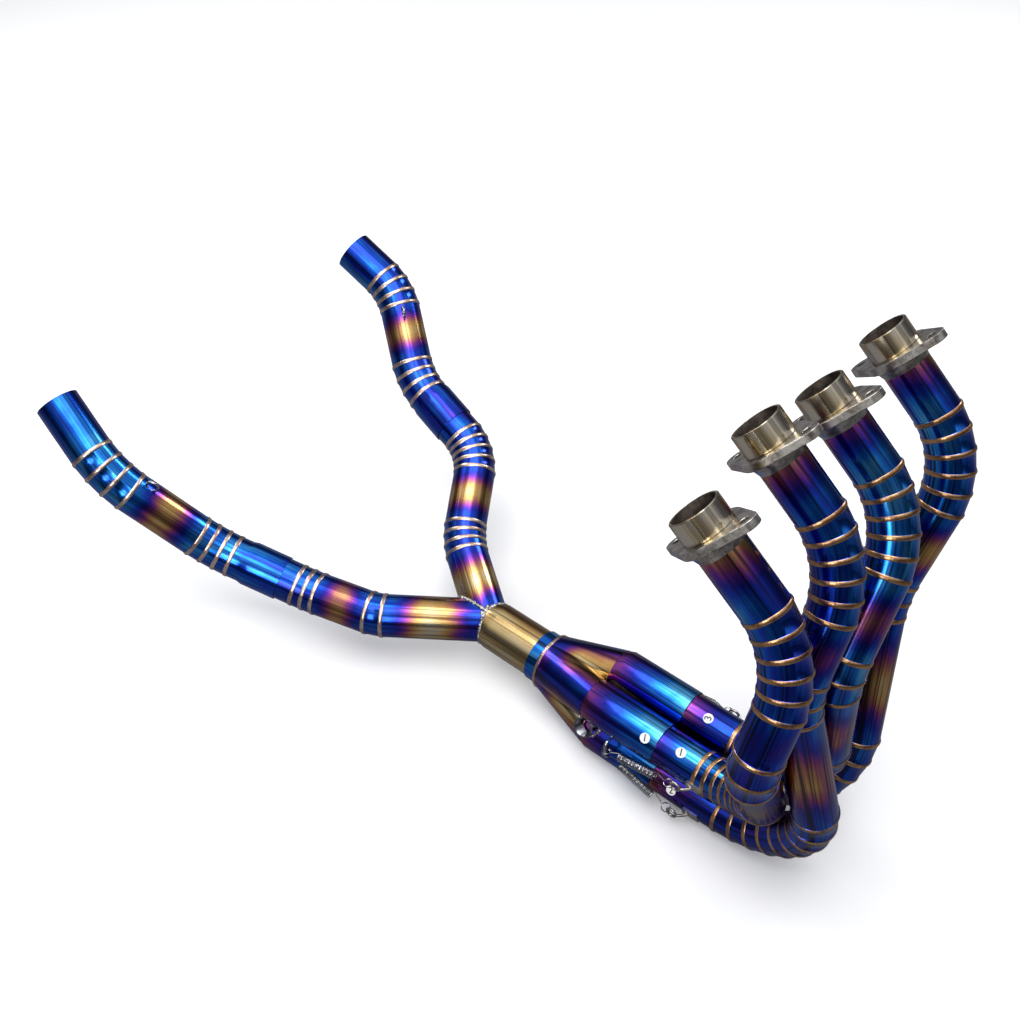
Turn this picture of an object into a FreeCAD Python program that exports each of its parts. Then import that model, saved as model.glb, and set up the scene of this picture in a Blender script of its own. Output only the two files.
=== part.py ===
import FreeCAD, Part
import math
import os

# Four-cylinder motorcycle exhaust header, in millimetres.
# +X points forward, +Y to the cylinder with the highest number, +Z up.
# The origin is the centre of the first port's rim, and the collector's axis runs along X.

Vector = FreeCAD.Vector
X_AXIS = Vector(1, 0, 0)
Y_AXIS = Vector(0, 1, 0)
Z_AXIS = Vector(0, 0, 1)
REARWARD = Vector(-1, 0, 0)

# Driving sizes that several pieces share
COMMON_SIZES = {
    "primary_od": 45.0,
    "branch_od": 50.8,
    "inlet_od": 57.5,
    "tube_wall": 1.2,
    "slip_gap": 0.3,
    "socket_wall": 1.5,
    "half_spacing": 25.8,
    "socket_length": 87.0,
    "cone_length": 85.0,
    "outlet_length": 15.0,
    "outlet_overlap": 12.0,
    "lobe_run_in": 10.0,
    "lobe_step": 2.0,
    "lobe_overlap": 2.0,
    "weld_ring_rise": 1.4,
    "weld_ring_width": 5.0,
    "pipe_insertion": 40.0,
    "port_drop": 41.5,
    "port_sleeve_wall": 1.3,
    "port_sleeve_fit": 0.15,
    "port_sleeve_length": 22.0,
    "flange_thickness": 7.5,
    "flange_gap": 0.2,
    "flange_body_radius": 31.0,
    "flange_lobe_radius": 11.0,
    "flange_turn": 0.0,
    "bolt_spacing": 84.0,
    "bolt_hole": 8.5,
    "collar_rise": 3.4,
    "collar_length": 10.0,
    "upper_pitch": 18.5,
    "middle_pitch": 19.0,
    "boss_od": 24.0,
    "boss_thread": 18.0,
    "boss_tilt": 32.0,
    "boss_x": 100.0,
    "boss_stand": 1.4,
    "boss_rise": 5.6,
    "boss_depth": 29.0,
    "crotch_distance": 79.0,
    "inlet_neck": 14.0,
    "sleeve_start": 20.0,
    "sleeve_length": 43.0,
    "sleeve_taper": 6.0,
    "sleeve_overlap": 36.0,
    "slip_end_length": 40.0,
    "slip_end_step": 0.4,
    "hook_x": 134.0,
    "hook_gap": 6.4,
    "hook_half_height": 12.0,
    "hook_rod": 4.0,
    "eye_forward": 89.0,
    "upper_eye_rise": 20.0,
    "lower_eye_fall": 34.0,
    "eye_radius": 5.5,
    "eye_wire": 3.0,
    "strap_thickness": 2.0,
    "strap_length": 20.0,
    "spring_od": 10.4,
    "spring_wire": 1.8,
    "spring_loop_radius": 5.0,
    "spring_coil_length": 46.0,
    "hanger_radius": 7.0,
    "hanger_wire": 3.2,
}

# Header pipes, one row each: where the port's rim is, measured from the lip of the
# collector's outlet, the straight below it, the lean to the near side and the swing
# forward of the middle straight in degrees, that straight's length, the ring pitch of
# the lower bend and how far forward of the outlet it ends
PIPE_COLUMNS = ("rim_x", "rim_y", "rim_z", "upper_run", "lean", "swing",
                "middle_run", "lower_pitch", "bend_end")
PIPE_ROWS = {
    "one": (212.0, -68.0, 444.0, 103.0, 29.5, 0.0, 44.5, 14.5, 238.0),
    "two": (209.0, 22.5, 468.5, 95.0, 33.5, 1.5, 59.5, 21.5, 267.0),
    "three": (222.0, 104.0, 456.5, 92.0, 42.0, 3.0, 78.0, 16.5, 246.0),
    "four": (224.0, 215.0, 447.0, 93.0, 30.5, -6.5, 82.0, 21.0, 254.0),
}
PIPE_NAMES = ("one", "two", "three", "four")
PIPE_NUMBERS = {"one": 1, "two": 2, "three": 3, "four": 4}
SOCKET_SIDES = {"one": (-1, 1), "two": (-1, -1), "three": (1, 1), "four": (1, -1)}
UPPER_RINGS = 6
MIDDLE_RINGS = 3
LOWER_RINGS = {"one": 9, "two": 9, "three": 10, "four": 9}

# Tail pipes, from the crotch rearward: each straight's heading towards the far side
# and its climb in degrees, its length, then the rings and ring pitch of the bend
# after it. The first two bends belong to the branch, the last two to the link pipe.
TAIL_COLUMNS = ("heading", "climb", "run", "pitch")
TAIL_ROWS = {
    "near": ((-36.8, 2.6, 122.5, 17.5), (-16.7, 3.8, 67.0, 14.0), (-21.1, 18.0, 84.0, 16.4),
             (-27.8, 43.1, 94.5, 19.7), (7.8, 37.0, 71.0, 0.0)),
    "far": ((33.8, 15.0, 90.5, 12.2), (59.8, 19.1, 73.0, 13.0), (8.2, 21.1, 73.7, 15.0),
            (35.7, 37.9, 74.6, 14.7), (-3.2, 27.5, 53.0, 0.0)),
}
TAIL_RINGS = {"near": (2, 3, 4, 4), "far": (4, 5, 4, 4)}


def make_sheet(doc):
    """Write every driving size into the spreadsheet under its own name."""
    sizes = dict(COMMON_SIZES)
    for name, row in PIPE_ROWS.items():
        for column, value in zip(PIPE_COLUMNS, row):
            sizes["%s_%s" % (name, column)] = value
    for side, rows in TAIL_ROWS.items():
        for order, row in zip("abcde", rows):
            for column, value in zip(TAIL_COLUMNS, row):
                sizes["%s_%s_%s" % (side, column, order)] = value
    sheet = doc.addObject("Spreadsheet::Sheet", "Sizes")
    for line, (name, value) in enumerate(sizes.items(), start=1):
        sheet.set("A%d" % line, name)
        sheet.set("B%d" % line, str(value))
        sheet.setAlias("B%d" % line, name)
    doc.recompute()
    return sheet


doc = FreeCAD.newDocument("ExhaustHeader")
sheet = make_sheet(doc)


def size(name):
    """Read one driving size from the sheet."""
    return float(getattr(sheet, name))


# Sizes that follow from the driving ones
PRIMARY_RADIUS = size("primary_od") / 2
BRANCH_RADIUS = size("branch_od") / 2
INLET_RADIUS = size("inlet_od") / 2
WALL = size("tube_wall")
SOCKET_BORE = PRIMARY_RADIUS + size("slip_gap")
SOCKET_RADIUS = SOCKET_BORE + size("socket_wall")
OUTLET_BORE = INLET_RADIUS + size("slip_gap")
OUTLET_RADIUS = OUTLET_BORE + size("socket_wall")
CONE_START = size("outlet_length")
CONE_END = CONE_START + size("cone_length")
SOCKET_MOUTH = CONE_END + size("socket_length")
BOSS_REACH = size("half_spacing") + SOCKET_RADIUS + size("boss_stand")
HOOK_REACH = size("half_spacing") + SOCKET_RADIUS + size("hook_gap")
LOBE_START = CONE_START - size("lobe_overlap")
# How much longer than needed each lobe starts out, as a share of its radius
LOBE_SPARE = 0.6
OUTLET_LIP = Vector(-size("one_rim_x"), -size("one_rim_y"), -size("one_rim_z"))
DROP = math.radians(size("port_drop"))
PORT_DIRECTION = Vector(math.cos(DROP), 0, -math.sin(DROP))


def add_feature(name, shape, place=Vector()):
    """Put a finished shape into the document under its node name, moved to its place."""
    feature = doc.addObject("Part::Feature", name)
    feature.Label = name
    feature.Shape = shape
    feature.Placement = FreeCAD.Placement(place, FreeCAD.Rotation())
    return feature


# Paths: corners of a centre line, one at each mitred weld

def bend_corners(start, direction, next_direction, rings, pitch):
    """Corners of a mitred bend that turns by the same angle at each ring."""
    angle = math.degrees(direction.getAngle(next_direction))
    step = FreeCAD.Rotation(direction.cross(next_direction), angle / rings)
    corners = [start]
    for _ in range(rings - 1):
        direction = step.multVec(direction)
        corners.append(corners[-1] + direction * pitch)
    return corners


def header_path(name):
    """Corners of one header pipe, from the port's rim to its end in the socket."""
    rim = Vector(size(name + "_rim_x"), size(name + "_rim_y"), size(name + "_rim_z")) + OUTLET_LIP
    lean = math.radians(size(name + "_lean"))
    swing = math.radians(size(name + "_swing"))
    middle = Vector(math.cos(lean) * math.sin(swing), -math.sin(lean), -math.cos(lean) * math.cos(swing))
    upper_start = rim + PORT_DIRECTION * size(name + "_upper_run")
    upper = bend_corners(upper_start, PORT_DIRECTION, middle, UPPER_RINGS, size("upper_pitch"))
    middle_start = upper[-1] + middle * size(name + "_middle_run")
    side, level = SOCKET_SIDES[name]
    offset = Vector(0, side, level) * size("half_spacing")
    bend_end = OUTLET_LIP + offset + X_AXIS * size(name + "_bend_end")
    # The lower straight's direction is the one that closes the path on the socket's axis
    lower = Vector(0, 0, -1)
    for _ in range(40):
        kink = bend_corners(middle_start, middle, lower, MIDDLE_RINGS, size("middle_pitch"))
        bend = bend_corners(Vector(), lower, REARWARD, LOWER_RINGS[name], size(name + "_lower_pitch"))
        bend_start = bend_end - bend[-1]
        aim = bend_start - kink[-1]
        aim.normalize()
        lower = lower + aim
        lower.normalize()
    bend = [corner + bend_start for corner in bend]
    pipe_end = OUTLET_LIP + offset + X_AXIS * (SOCKET_MOUTH - size("pipe_insertion"))
    return [rim] + upper + kink + bend + [pipe_end]


def tail_direction(side, order):
    """Direction of one straight of a tail pipe."""
    heading = math.radians(size("%s_heading_%s" % (side, order)))
    climb = math.radians(size("%s_climb_%s" % (side, order)))
    return Vector(-math.cos(climb) * math.cos(heading), math.cos(climb) * math.sin(heading), math.sin(climb))


def tail_bends(side):
    """The bends of one tail pipe, each a list of corners, and the end of its last straight."""
    corner = OUTLET_LIP + REARWARD * size("crotch_distance")
    bends = []
    for index, rings in enumerate(TAIL_RINGS[side]):
        order = "abcde"[index]
        direction = tail_direction(side, order)
        start = corner + direction * size("%s_run_%s" % (side, order))
        next_direction = tail_direction(side, "abcde"[index + 1])
        pitch = size("%s_pitch_%s" % (side, order))
        bends.append(bend_corners(start, direction, next_direction, rings, pitch))
        corner = bends[-1][-1]
    return bends, corner + tail_direction(side, "e") * size(side + "_run_e")


# Tubes: cylinders and cones, each trimmed by the mitre planes at its two ends

STRAIGHT_ANGLE = 1e-6


def unit(vector):
    """A copy of a vector with length one."""
    copy = Vector(vector)
    copy.normalize()
    return copy


def beyond(corner, outward, radius):
    """A thick disc that covers everything near a corner beyond its mitre plane."""
    return Part.makeCylinder(radius * 3, radius * 3, corner, outward)


def mitred_bars(corners, radii):
    """The straights of a bar along a path, each trimmed to the mitre planes at its corners."""
    directions = [unit(ahead - here) for here, ahead in zip(corners, corners[1:])]
    normals = [unit(here + ahead) for here, ahead in zip(directions, directions[1:])]
    normals = [directions[0]] + normals + [directions[-1]]
    bars = []
    for index, direction in enumerate(directions):
        here = corners[index]
        ahead = corners[index + 1]
        radius = radii[index]
        length = (ahead - here).Length
        if radii[index + 1] != radius:
            bars.append(Part.makeCone(radius, radii[index + 1], length, here, direction))
            continue
        before = radius if normals[index].getAngle(direction) > STRAIGHT_ANGLE else 0
        after = radius if normals[index + 1].getAngle(direction) > STRAIGHT_ANGLE else 0
        bar = Part.makeCylinder(radius, before + length + after, here - direction * before, direction)
        if before:
            bar = bar.cut(beyond(here, normals[index] * -1, radius))
        if after:
            bar = bar.cut(beyond(ahead, normals[index + 1], radius))
        bars.append(bar)
    return bars


def rod_solid(corners, radii):
    """A solid bar along a path."""
    bars = mitred_bars(corners, radii)
    return bars[0].multiFuse(bars[1:])


def tube_solid(corners, radii):
    """A thin-walled tube along a path, open at both ends."""
    outer = mitred_bars(corners, radii)
    inner = mitred_bars(corners, [radius - WALL for radius in radii])
    straights = [bar.cut(bore) for bar, bore in zip(outer, inner)]
    return straights[0].multiFuse(straights[1:])


# Header pipes

def collared_solid(name, hollow):
    """One header pipe with its collar, hollow or as a plain bar."""
    corners = header_path(name)
    radii = [PRIMARY_RADIUS] * len(corners)
    collar_top = corners[0] + PORT_DIRECTION * (size("port_sleeve_length") + size("flange_thickness"))
    collar = Part.makeCone(PRIMARY_RADIUS + size("collar_rise"), PRIMARY_RADIUS,
                           size("collar_length"), collar_top, PORT_DIRECTION)
    core = Part.makeCylinder(PRIMARY_RADIUS - WALL / 2, size("collar_length"), collar_top, PORT_DIRECTION)
    if not hollow:
        return rod_solid(corners, radii)
    tube = tube_solid(corners, radii)
    return tube.fuse(collar.cut(core))


header_bars = {}
for name in PIPE_NAMES:
    number = PIPE_NUMBERS[name]
    header_bars[name] = collared_solid(name, False)
    add_feature("header_pipe_%d" % number, collared_solid(name, True))


# Port sleeves and loose flanges

def port_placement(name, depth, turn):
    """A frame on a port's axis, its Z axis pointing down the pipe."""
    rim = header_path(name)[0]
    rotation = FreeCAD.Rotation(Z_AXIS, PORT_DIRECTION)
    spin = FreeCAD.Rotation(Z_AXIS, turn)
    return FreeCAD.Placement(rim + PORT_DIRECTION * depth, rotation.multiply(spin))


def make_port_sleeve(name):
    """The machined ring that fits into the cylinder head."""
    number = PIPE_NUMBERS[name]
    body = doc.addObject("Part::Cylinder", "sleeve_body_%d" % number)
    body.setExpression("Radius", "Sizes.primary_od / 2 + Sizes.port_sleeve_wall")
    body.setExpression("Height", "Sizes.port_sleeve_length")
    bore = doc.addObject("Part::Cylinder", "sleeve_bore_%d" % number)
    bore.setExpression("Radius", "Sizes.primary_od / 2 + Sizes.port_sleeve_fit")
    bore.setExpression("Height", "Sizes.port_sleeve_length")
    sleeve = doc.addObject("Part::Cut", "port_sleeve_%d" % number)
    sleeve.Label = "port_sleeve_%d" % number
    sleeve.Base = body
    sleeve.Tool = bore
    sleeve.Placement = port_placement(name, 0, 0)


def flange_outline(sketch):
    """Draw the oval outline, the centre bore and the two bolt holes."""
    body_radius = size("flange_body_radius")
    lobe_radius = size("flange_lobe_radius")
    reach = size("bolt_spacing") / 2
    angle = math.acos((body_radius - lobe_radius) / reach)

    def on_circle(centre_x, radius, at):
        return Vector(centre_x + radius * math.cos(at), radius * math.sin(at), 0)

    for side in (1, -1):
        centre_angle = 0 if side == 1 else math.pi
        lobe = Part.Circle(Vector(side * reach, 0, 0), Z_AXIS, lobe_radius)
        body = Part.Circle(Vector(), Z_AXIS, body_radius)
        quarter = centre_angle + math.pi / 2
        sketch.addGeometry(Part.ArcOfCircle(lobe, centre_angle - angle, centre_angle + angle))
        body_from = centre_angle + angle
        body_to = body_from + 2 * (quarter - body_from)
        sketch.addGeometry(Part.ArcOfCircle(body, body_from, body_to))
        for rise in (angle, -angle):
            start = on_circle(0, body_radius, centre_angle + rise)
            end = on_circle(side * reach, lobe_radius, centre_angle + rise)
            sketch.addGeometry(Part.LineSegment(start, end))
        sketch.addGeometry(Part.Circle(Vector(side * reach, 0, 0), Z_AXIS, size("bolt_hole") / 2))
    bore = PRIMARY_RADIUS + size("flange_gap")
    sketch.addGeometry(Part.Circle(Vector(), Z_AXIS, bore))


def make_port_flange(name):
    """The loose oval plate that clamps the sleeve to the cylinder head."""
    number = PIPE_NUMBERS[name]
    body = doc.addObject("PartDesign::Body", "port_flange_%d" % number)
    body.Label = "port_flange_%d" % number
    sketch = body.newObject("Sketcher::SketchObject", "flange_sketch_%d" % number)
    planes = [feature for feature in body.Origin.OriginFeatures if feature.Role == "XY_Plane"]
    sketch.AttachmentSupport = [(planes[0], "")]
    sketch.MapMode = "FlatFace"
    flange_outline(sketch)
    pad = body.newObject("PartDesign::Pad", "flange_pad_%d" % number)
    pad.Profile = sketch
    pad.setExpression("Length", "Sizes.flange_thickness")
    body.Placement = port_placement(name, size("port_sleeve_length"), size("flange_turn"))


for name in PIPE_NAMES:
    make_port_sleeve(name)
    make_port_flange(name)


# Collector with its sensor boss, made with the outlet's lip at zero and then moved to its place

class LobeJoint:
    """Where a slanted lobe meets its socket: both touch one ball, so they share an ellipse."""

    def __init__(self, name, socket_radius, end_radius):
        side, level = SOCKET_SIDES[name]
        self.lobe_end = X_AXIS * (CONE_START - size("lobe_run_in"))
        self.elbow = Vector(0, side, level) * size("half_spacing") + X_AXIS * CONE_END
        self.direction = unit(self.elbow - self.lobe_end)
        self.length = (self.elbow - self.lobe_end).Length
        self.taper = (end_radius - socket_radius) / self.length
        half_angle = math.atan(self.taper)
        self.ball_radius = socket_radius
        self.elbow_radius = socket_radius / math.cos(half_angle)
        normal = X_AXIS * math.cos(half_angle) + self.direction
        self.centre = self.elbow + unit(normal) * (socket_radius * math.sin(half_angle) / normal.Length)
        self.normal = unit(normal)


def lobe_cone(joint):
    """The slanted cone that leads from one socket into the outlet."""
    spare = joint.ball_radius * LOBE_SPARE
    rear_radius = joint.elbow_radius + (joint.length + spare) * joint.taper
    front_radius = joint.elbow_radius - spare * joint.taper
    cone = Part.makeCone(rear_radius, front_radius, joint.length + spare * 2,
                         joint.lobe_end - joint.direction * spare, joint.direction)
    cone = cone.cut(beyond(joint.centre, joint.normal, joint.ball_radius))
    return cone.cut(beyond(X_AXIS * LOBE_START, REARWARD, rear_radius))


def socket_bar(joint):
    """One round socket, mitred to its lobe."""
    radius = joint.ball_radius
    spare = radius * LOBE_SPARE
    bar = Part.makeCylinder(radius, size("socket_length") + spare, joint.elbow - X_AXIS * spare, X_AXIS)
    return bar.cut(beyond(joint.centre, joint.normal * -1, radius))


def collector_solid(socket_radius, outlet_radius):
    """Four sockets whose lobes run together into one outlet."""
    lobe_radius = outlet_radius - size("lobe_step")
    joints = [LobeJoint(name, socket_radius, lobe_radius) for name in PIPE_NAMES]
    solid = lobe_cone(joints[0])
    for joint in joints[1:]:
        solid = solid.fuse(lobe_cone(joint))
    sockets = [socket_bar(joint) for joint in joints]
    outlet = Part.makeCylinder(outlet_radius, CONE_START, Vector(), X_AXIS)
    return outlet.fuse(solid).fuse(sockets[0].multiFuse(sockets[1:]))


def weld_ring():
    """The raised weld where the cone meets the outlet sleeve."""
    half = size("weld_ring_width") / 2
    crest = OUTLET_RADIUS + size("weld_ring_rise")
    middle = X_AXIS * CONE_START
    rear = Part.makeCone(OUTLET_RADIUS, crest, half, middle - X_AXIS * half, X_AXIS)
    front = Part.makeCone(crest, OUTLET_RADIUS, half, middle, X_AXIS)
    return rear.fuse(front)


BOSS_TILT = math.radians(size("boss_tilt"))
BOSS_OUTWARD = Vector(0, -math.cos(BOSS_TILT), math.sin(BOSS_TILT))
BOSS_FACE = Vector(size("boss_x"), -BOSS_REACH, size("boss_rise"))

collector_bar = collector_solid(SOCKET_RADIUS, OUTLET_RADIUS).fuse(weld_ring())
collector_bore = collector_solid(SOCKET_BORE, OUTLET_BORE)
boss_bar = Part.makeCylinder(size("boss_od") / 2, size("boss_depth"), BOSS_FACE, BOSS_OUTWARD * -1)
boss_hole = Part.makeCylinder(size("boss_thread") / 2, size("boss_depth"), BOSS_FACE, BOSS_OUTWARD * -1)
add_feature("collector", collector_bar.cut(collector_bore).cut(boss_hole), OUTLET_LIP)
add_feature("sensor_boss", boss_bar.cut(boss_hole).cut(collector_bar), OUTLET_LIP)
collector_outside = collector_bar.translated(OUTLET_LIP)


# Y pipe and link pipes

def branch_corners(side):
    """Corners of one branch, from the crotch to its end inside the link's sleeve."""
    bends, _ = tail_bends(side)
    crotch = OUTLET_LIP + REARWARD * size("crotch_distance")
    corners = [crotch - REARWARD * size("inlet_neck"), crotch] + bends[0] + bends[1]
    direction = tail_direction(side, "c")
    return corners + [corners[-1] + direction * (size("sleeve_start") + size("sleeve_overlap"))]


def branch_bar(side, radius):
    """One branch as a plain bar."""
    corners = branch_corners(side)
    return rod_solid(corners, [radius] * len(corners))


def inlet_bar(radius, neck_radius):
    """The straight inlet and the neck in which it narrows to the branches."""
    start = OUTLET_LIP + X_AXIS * size("outlet_overlap")
    neck_start = size("crotch_distance") - size("inlet_neck")
    straight = Part.makeCylinder(radius, size("outlet_overlap") + neck_start, start, REARWARD)
    neck = Part.makeCone(radius, neck_radius, size("inlet_neck"),
                         OUTLET_LIP + REARWARD * neck_start, REARWARD)
    return straight.fuse(neck)


y_outside = inlet_bar(INLET_RADIUS, BRANCH_RADIUS)
y_inside = inlet_bar(INLET_RADIUS - WALL, BRANCH_RADIUS - WALL)
for side in ("near", "far"):
    y_outside = y_outside.fuse(branch_bar(side, BRANCH_RADIUS))
    y_inside = y_inside.fuse(branch_bar(side, BRANCH_RADIUS - WALL))
add_feature("y_pipe", y_outside.cut(y_inside))


def link_stations(side):
    """Corners and outer radii of a link pipe, whose expanded sleeve slips over its branch."""
    bends, end = tail_bends(side)
    direction = tail_direction(side, "c")
    sleeve = bends[1][-1] + direction * size("sleeve_start")
    sleeve_radius = BRANCH_RADIUS + size("slip_gap") + WALL
    corners = [sleeve, sleeve + direction * size("sleeve_length")]
    corners.append(corners[1] + direction * size("sleeve_taper"))
    radii = [sleeve_radius, sleeve_radius, BRANCH_RADIUS]
    rest = bends[2] + bends[3] + [end]
    return corners + rest, radii + [BRANCH_RADIUS] * len(rest)


def slip_end(side):
    """The ring of metal that is turned off a link pipe's open end for its slip joint."""
    direction = tail_direction(side, "e")
    start = tail_bends(side)[1] - direction * size("slip_end_length")
    around = Part.makeCylinder(BRANCH_RADIUS * 2, size("slip_end_length") * 2, start, direction)
    kept = BRANCH_RADIUS - size("slip_end_step")
    return around.cut(Part.makeCylinder(kept, size("slip_end_length") * 2, start, direction))


link_bars = {}
for side in ("near", "far"):
    corners, radii = link_stations(side)
    link_bars[side] = rod_solid(corners, radii)
    add_feature("link_pipe_" + side, tube_solid(corners, radii).cut(slip_end(side)))


def flat_ring(radius, wire_radius, centre, axis):
    """A flat ring of square section, as a plain stand for a loop of wire."""
    axis = Vector(axis)
    axis.normalize()
    base = centre - axis * wire_radius
    outer = Part.makeCylinder(radius + wire_radius, wire_radius * 2, base, axis)
    return outer.cut(Part.makeCylinder(radius - wire_radius, wire_radius * 2, base, axis))


# Hooks on the collector, one on each side in the valley between two sockets

HOOK_RADIUS = size("hook_rod") / 2
EYE_WIRE_RADIUS = size("eye_wire") / 2
SPRING_WIRE_RADIUS = size("spring_wire") / 2


def rod_between(start, end, radius):
    """A round rod between two points."""
    return Part.makeCylinder(radius, (end - start).Length, start, end - start)


def hook_shape(side):
    """An upright rod with two arms that reach the sockets."""
    reach = side * HOOK_REACH
    half = size("hook_half_height")
    top = OUTLET_LIP + Vector(size("hook_x"), reach, half)
    bottom = OUTLET_LIP + Vector(size("hook_x"), reach, -half)
    inward = Vector(0, side * size("half_spacing") - reach, 0)
    rods = [rod_between(top, bottom, HOOK_RADIUS)]
    for corner in (top, bottom):
        rods.append(rod_between(corner, corner + inward, HOOK_RADIUS))
        rods.append(rod_between(corner, corner - inward * (HOOK_RADIUS / inward.Length), HOOK_RADIUS))
    return rods[0].multiFuse(rods[1:]).cut(collector_outside)


add_feature("collector_hook_near", hook_shape(-1))
add_feature("collector_hook_far", hook_shape(1))


# Hooks on the header pipes: a welded strap, an arm and an eye

def eye_centre(name):
    """Centre of the eye of one header pipe's hook."""
    side, level = SOCKET_SIDES[name]
    rise = size("upper_eye_rise") if level == 1 else -size("lower_eye_fall")
    return OUTLET_LIP + Vector(size("hook_x") + size("eye_forward"), side * HOOK_REACH, rise)


def header_hook(name):
    """Strap on the pipe's outer side, with its eye held clear of the pipe."""
    side, level = SOCKET_SIDES[name]
    centre = eye_centre(name)
    pipe_centre = OUTLET_LIP + Vector(0, side, level) * size("half_spacing")
    strap_start = Vector(centre.x + size("eye_radius") + HOOK_RADIUS, pipe_centre.y, pipe_centre.z)
    outside = Part.makeCylinder(PRIMARY_RADIUS + size("strap_thickness"), size("strap_length"),
                                strap_start, X_AXIS)
    reach = PRIMARY_RADIUS + size("strap_thickness")
    window = Part.makeBox(size("strap_length"), reach, reach,
                          Vector(strap_start.x, min(pipe_centre.y, pipe_centre.y + side * reach),
                                 centre.z - reach / 2))
    strap = outside.common(window)
    eye = flat_ring(size("eye_radius"), EYE_WIRE_RADIUS, centre, Y_AXIS)
    arm_start = centre + X_AXIS * size("eye_radius")
    surface_y = side * math.sqrt(PRIMARY_RADIUS ** 2 - (centre.z - pipe_centre.z) ** 2)
    arm_end = Vector(strap_start.x + size("strap_length") / 3, pipe_centre.y + surface_y, centre.z)
    arm = rod_between(arm_start, arm_end, EYE_WIRE_RADIUS)
    return eye.multiFuse([arm, strap]).cut(header_bars[name])


for name in PIPE_NAMES:
    add_feature("header_hook_%d" % PIPE_NUMBERS[name], header_hook(name))


# Springs: the coil as a sleeve, its two long legs and its two loops

def spring_shape(name):
    """One tension spring between the collector's hook and a header pipe's eye."""
    side, level = SOCKET_SIDES[name]
    loop = size("spring_loop_radius")
    eye = eye_centre(name)
    stack = level * (SPRING_WIRE_RADIUS + size("slip_gap")) * 2
    rod = OUTLET_LIP + Vector(size("hook_x"), side * HOOK_REACH, stack)
    along = eye - rod
    along.normalize()
    rear = rod + along * (loop - HOOK_RADIUS - SPRING_WIRE_RADIUS - size("slip_gap"))
    play = size("eye_radius") - EYE_WIRE_RADIUS - SPRING_WIRE_RADIUS - size("slip_gap")
    front = eye - along * (loop + play)
    loop_axis = along.cross(Y_AXIS)
    middle = (rear + front) * 0.5
    half = along * (size("spring_coil_length") / 2)
    coil_outer = Part.makeCylinder(size("spring_od") / 2, size("spring_coil_length"), middle - half, along)
    coil_inner = Part.makeCylinder(size("spring_od") / 2 - size("spring_wire"),
                                   size("spring_coil_length"), middle - half, along)
    coil = coil_outer.cut(coil_inner)
    pieces = []
    for centre, outward, coil_end in ((rear, along, middle - half), (front, along * -1, middle + half)):
        pieces.append(flat_ring(loop, SPRING_WIRE_RADIUS, centre, loop_axis))
        leg_start = centre + outward * loop
        edge = coil_end + loop_axis * (size("spring_od") / 2 - SPRING_WIRE_RADIUS)
        pieces.append(rod_between(leg_start, edge + outward * size("spring_wire"), SPRING_WIRE_RADIUS))
    return coil.multiFuse(pieces)


for name in PIPE_NAMES:
    add_feature("spring_%d" % PIPE_NUMBERS[name], spring_shape(name))


# Hangers: one wire eye on top of each link pipe, at its second bend

def link_hanger(side):
    """A wire eye that stands on the link pipe, in the plane of the pipe's run."""
    bends, _ = tail_bends(side)
    direction = tail_direction(side, "d")
    outward = Z_AXIS - direction * direction.z
    outward.normalize()
    reach = BRANCH_RADIUS + size("hanger_radius") - size("hanger_wire") / 2
    centre = bends[3][0] - direction * size("hanger_radius") * 2 + outward * reach
    ring = flat_ring(size("hanger_radius"), size("hanger_wire") / 2, centre, direction.cross(outward))
    return ring.cut(link_bars[side])


for side in ("near", "far"):
    add_feature("link_hanger_" + side, link_hanger(side))


# Checks and files

doc.recompute()
helpers = ("sleeve_body_", "sleeve_bore_")
nodes = []
for item in doc.Objects:
    if "Invalid" in item.State or "Error" in item.State:
        raise RuntimeError("%s failed: %s" % (item.Name, item.State))
    is_node = item.TypeId in ("Part::Feature", "Part::Cut", "PartDesign::Body")
    if is_node and not item.Name.startswith(helpers):
        nodes.append(item)
for item in nodes:
    if item.Shape.isNull() or not item.Shape.isValid() or item.Shape.Volume <= 0:
        raise RuntimeError("%s has no valid shape" % item.Label)
    if len(item.Shape.Solids) != 1:
        raise RuntimeError("%s has %d solids" % (item.Label, len(item.Shape.Solids)))

os.makedirs("parts", exist_ok=True)
for item in nodes:
    item.Shape.exportStep("parts/%s.step" % item.Label)
print("wrote %d parts" % len(nodes))
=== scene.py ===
import logging
import math
from dataclasses import dataclass
from enum import Enum
from typing import Callable, Optional, Sequence

import bmesh
import bpy
from mathutils import Matrix, Quaternion, Vector


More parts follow.
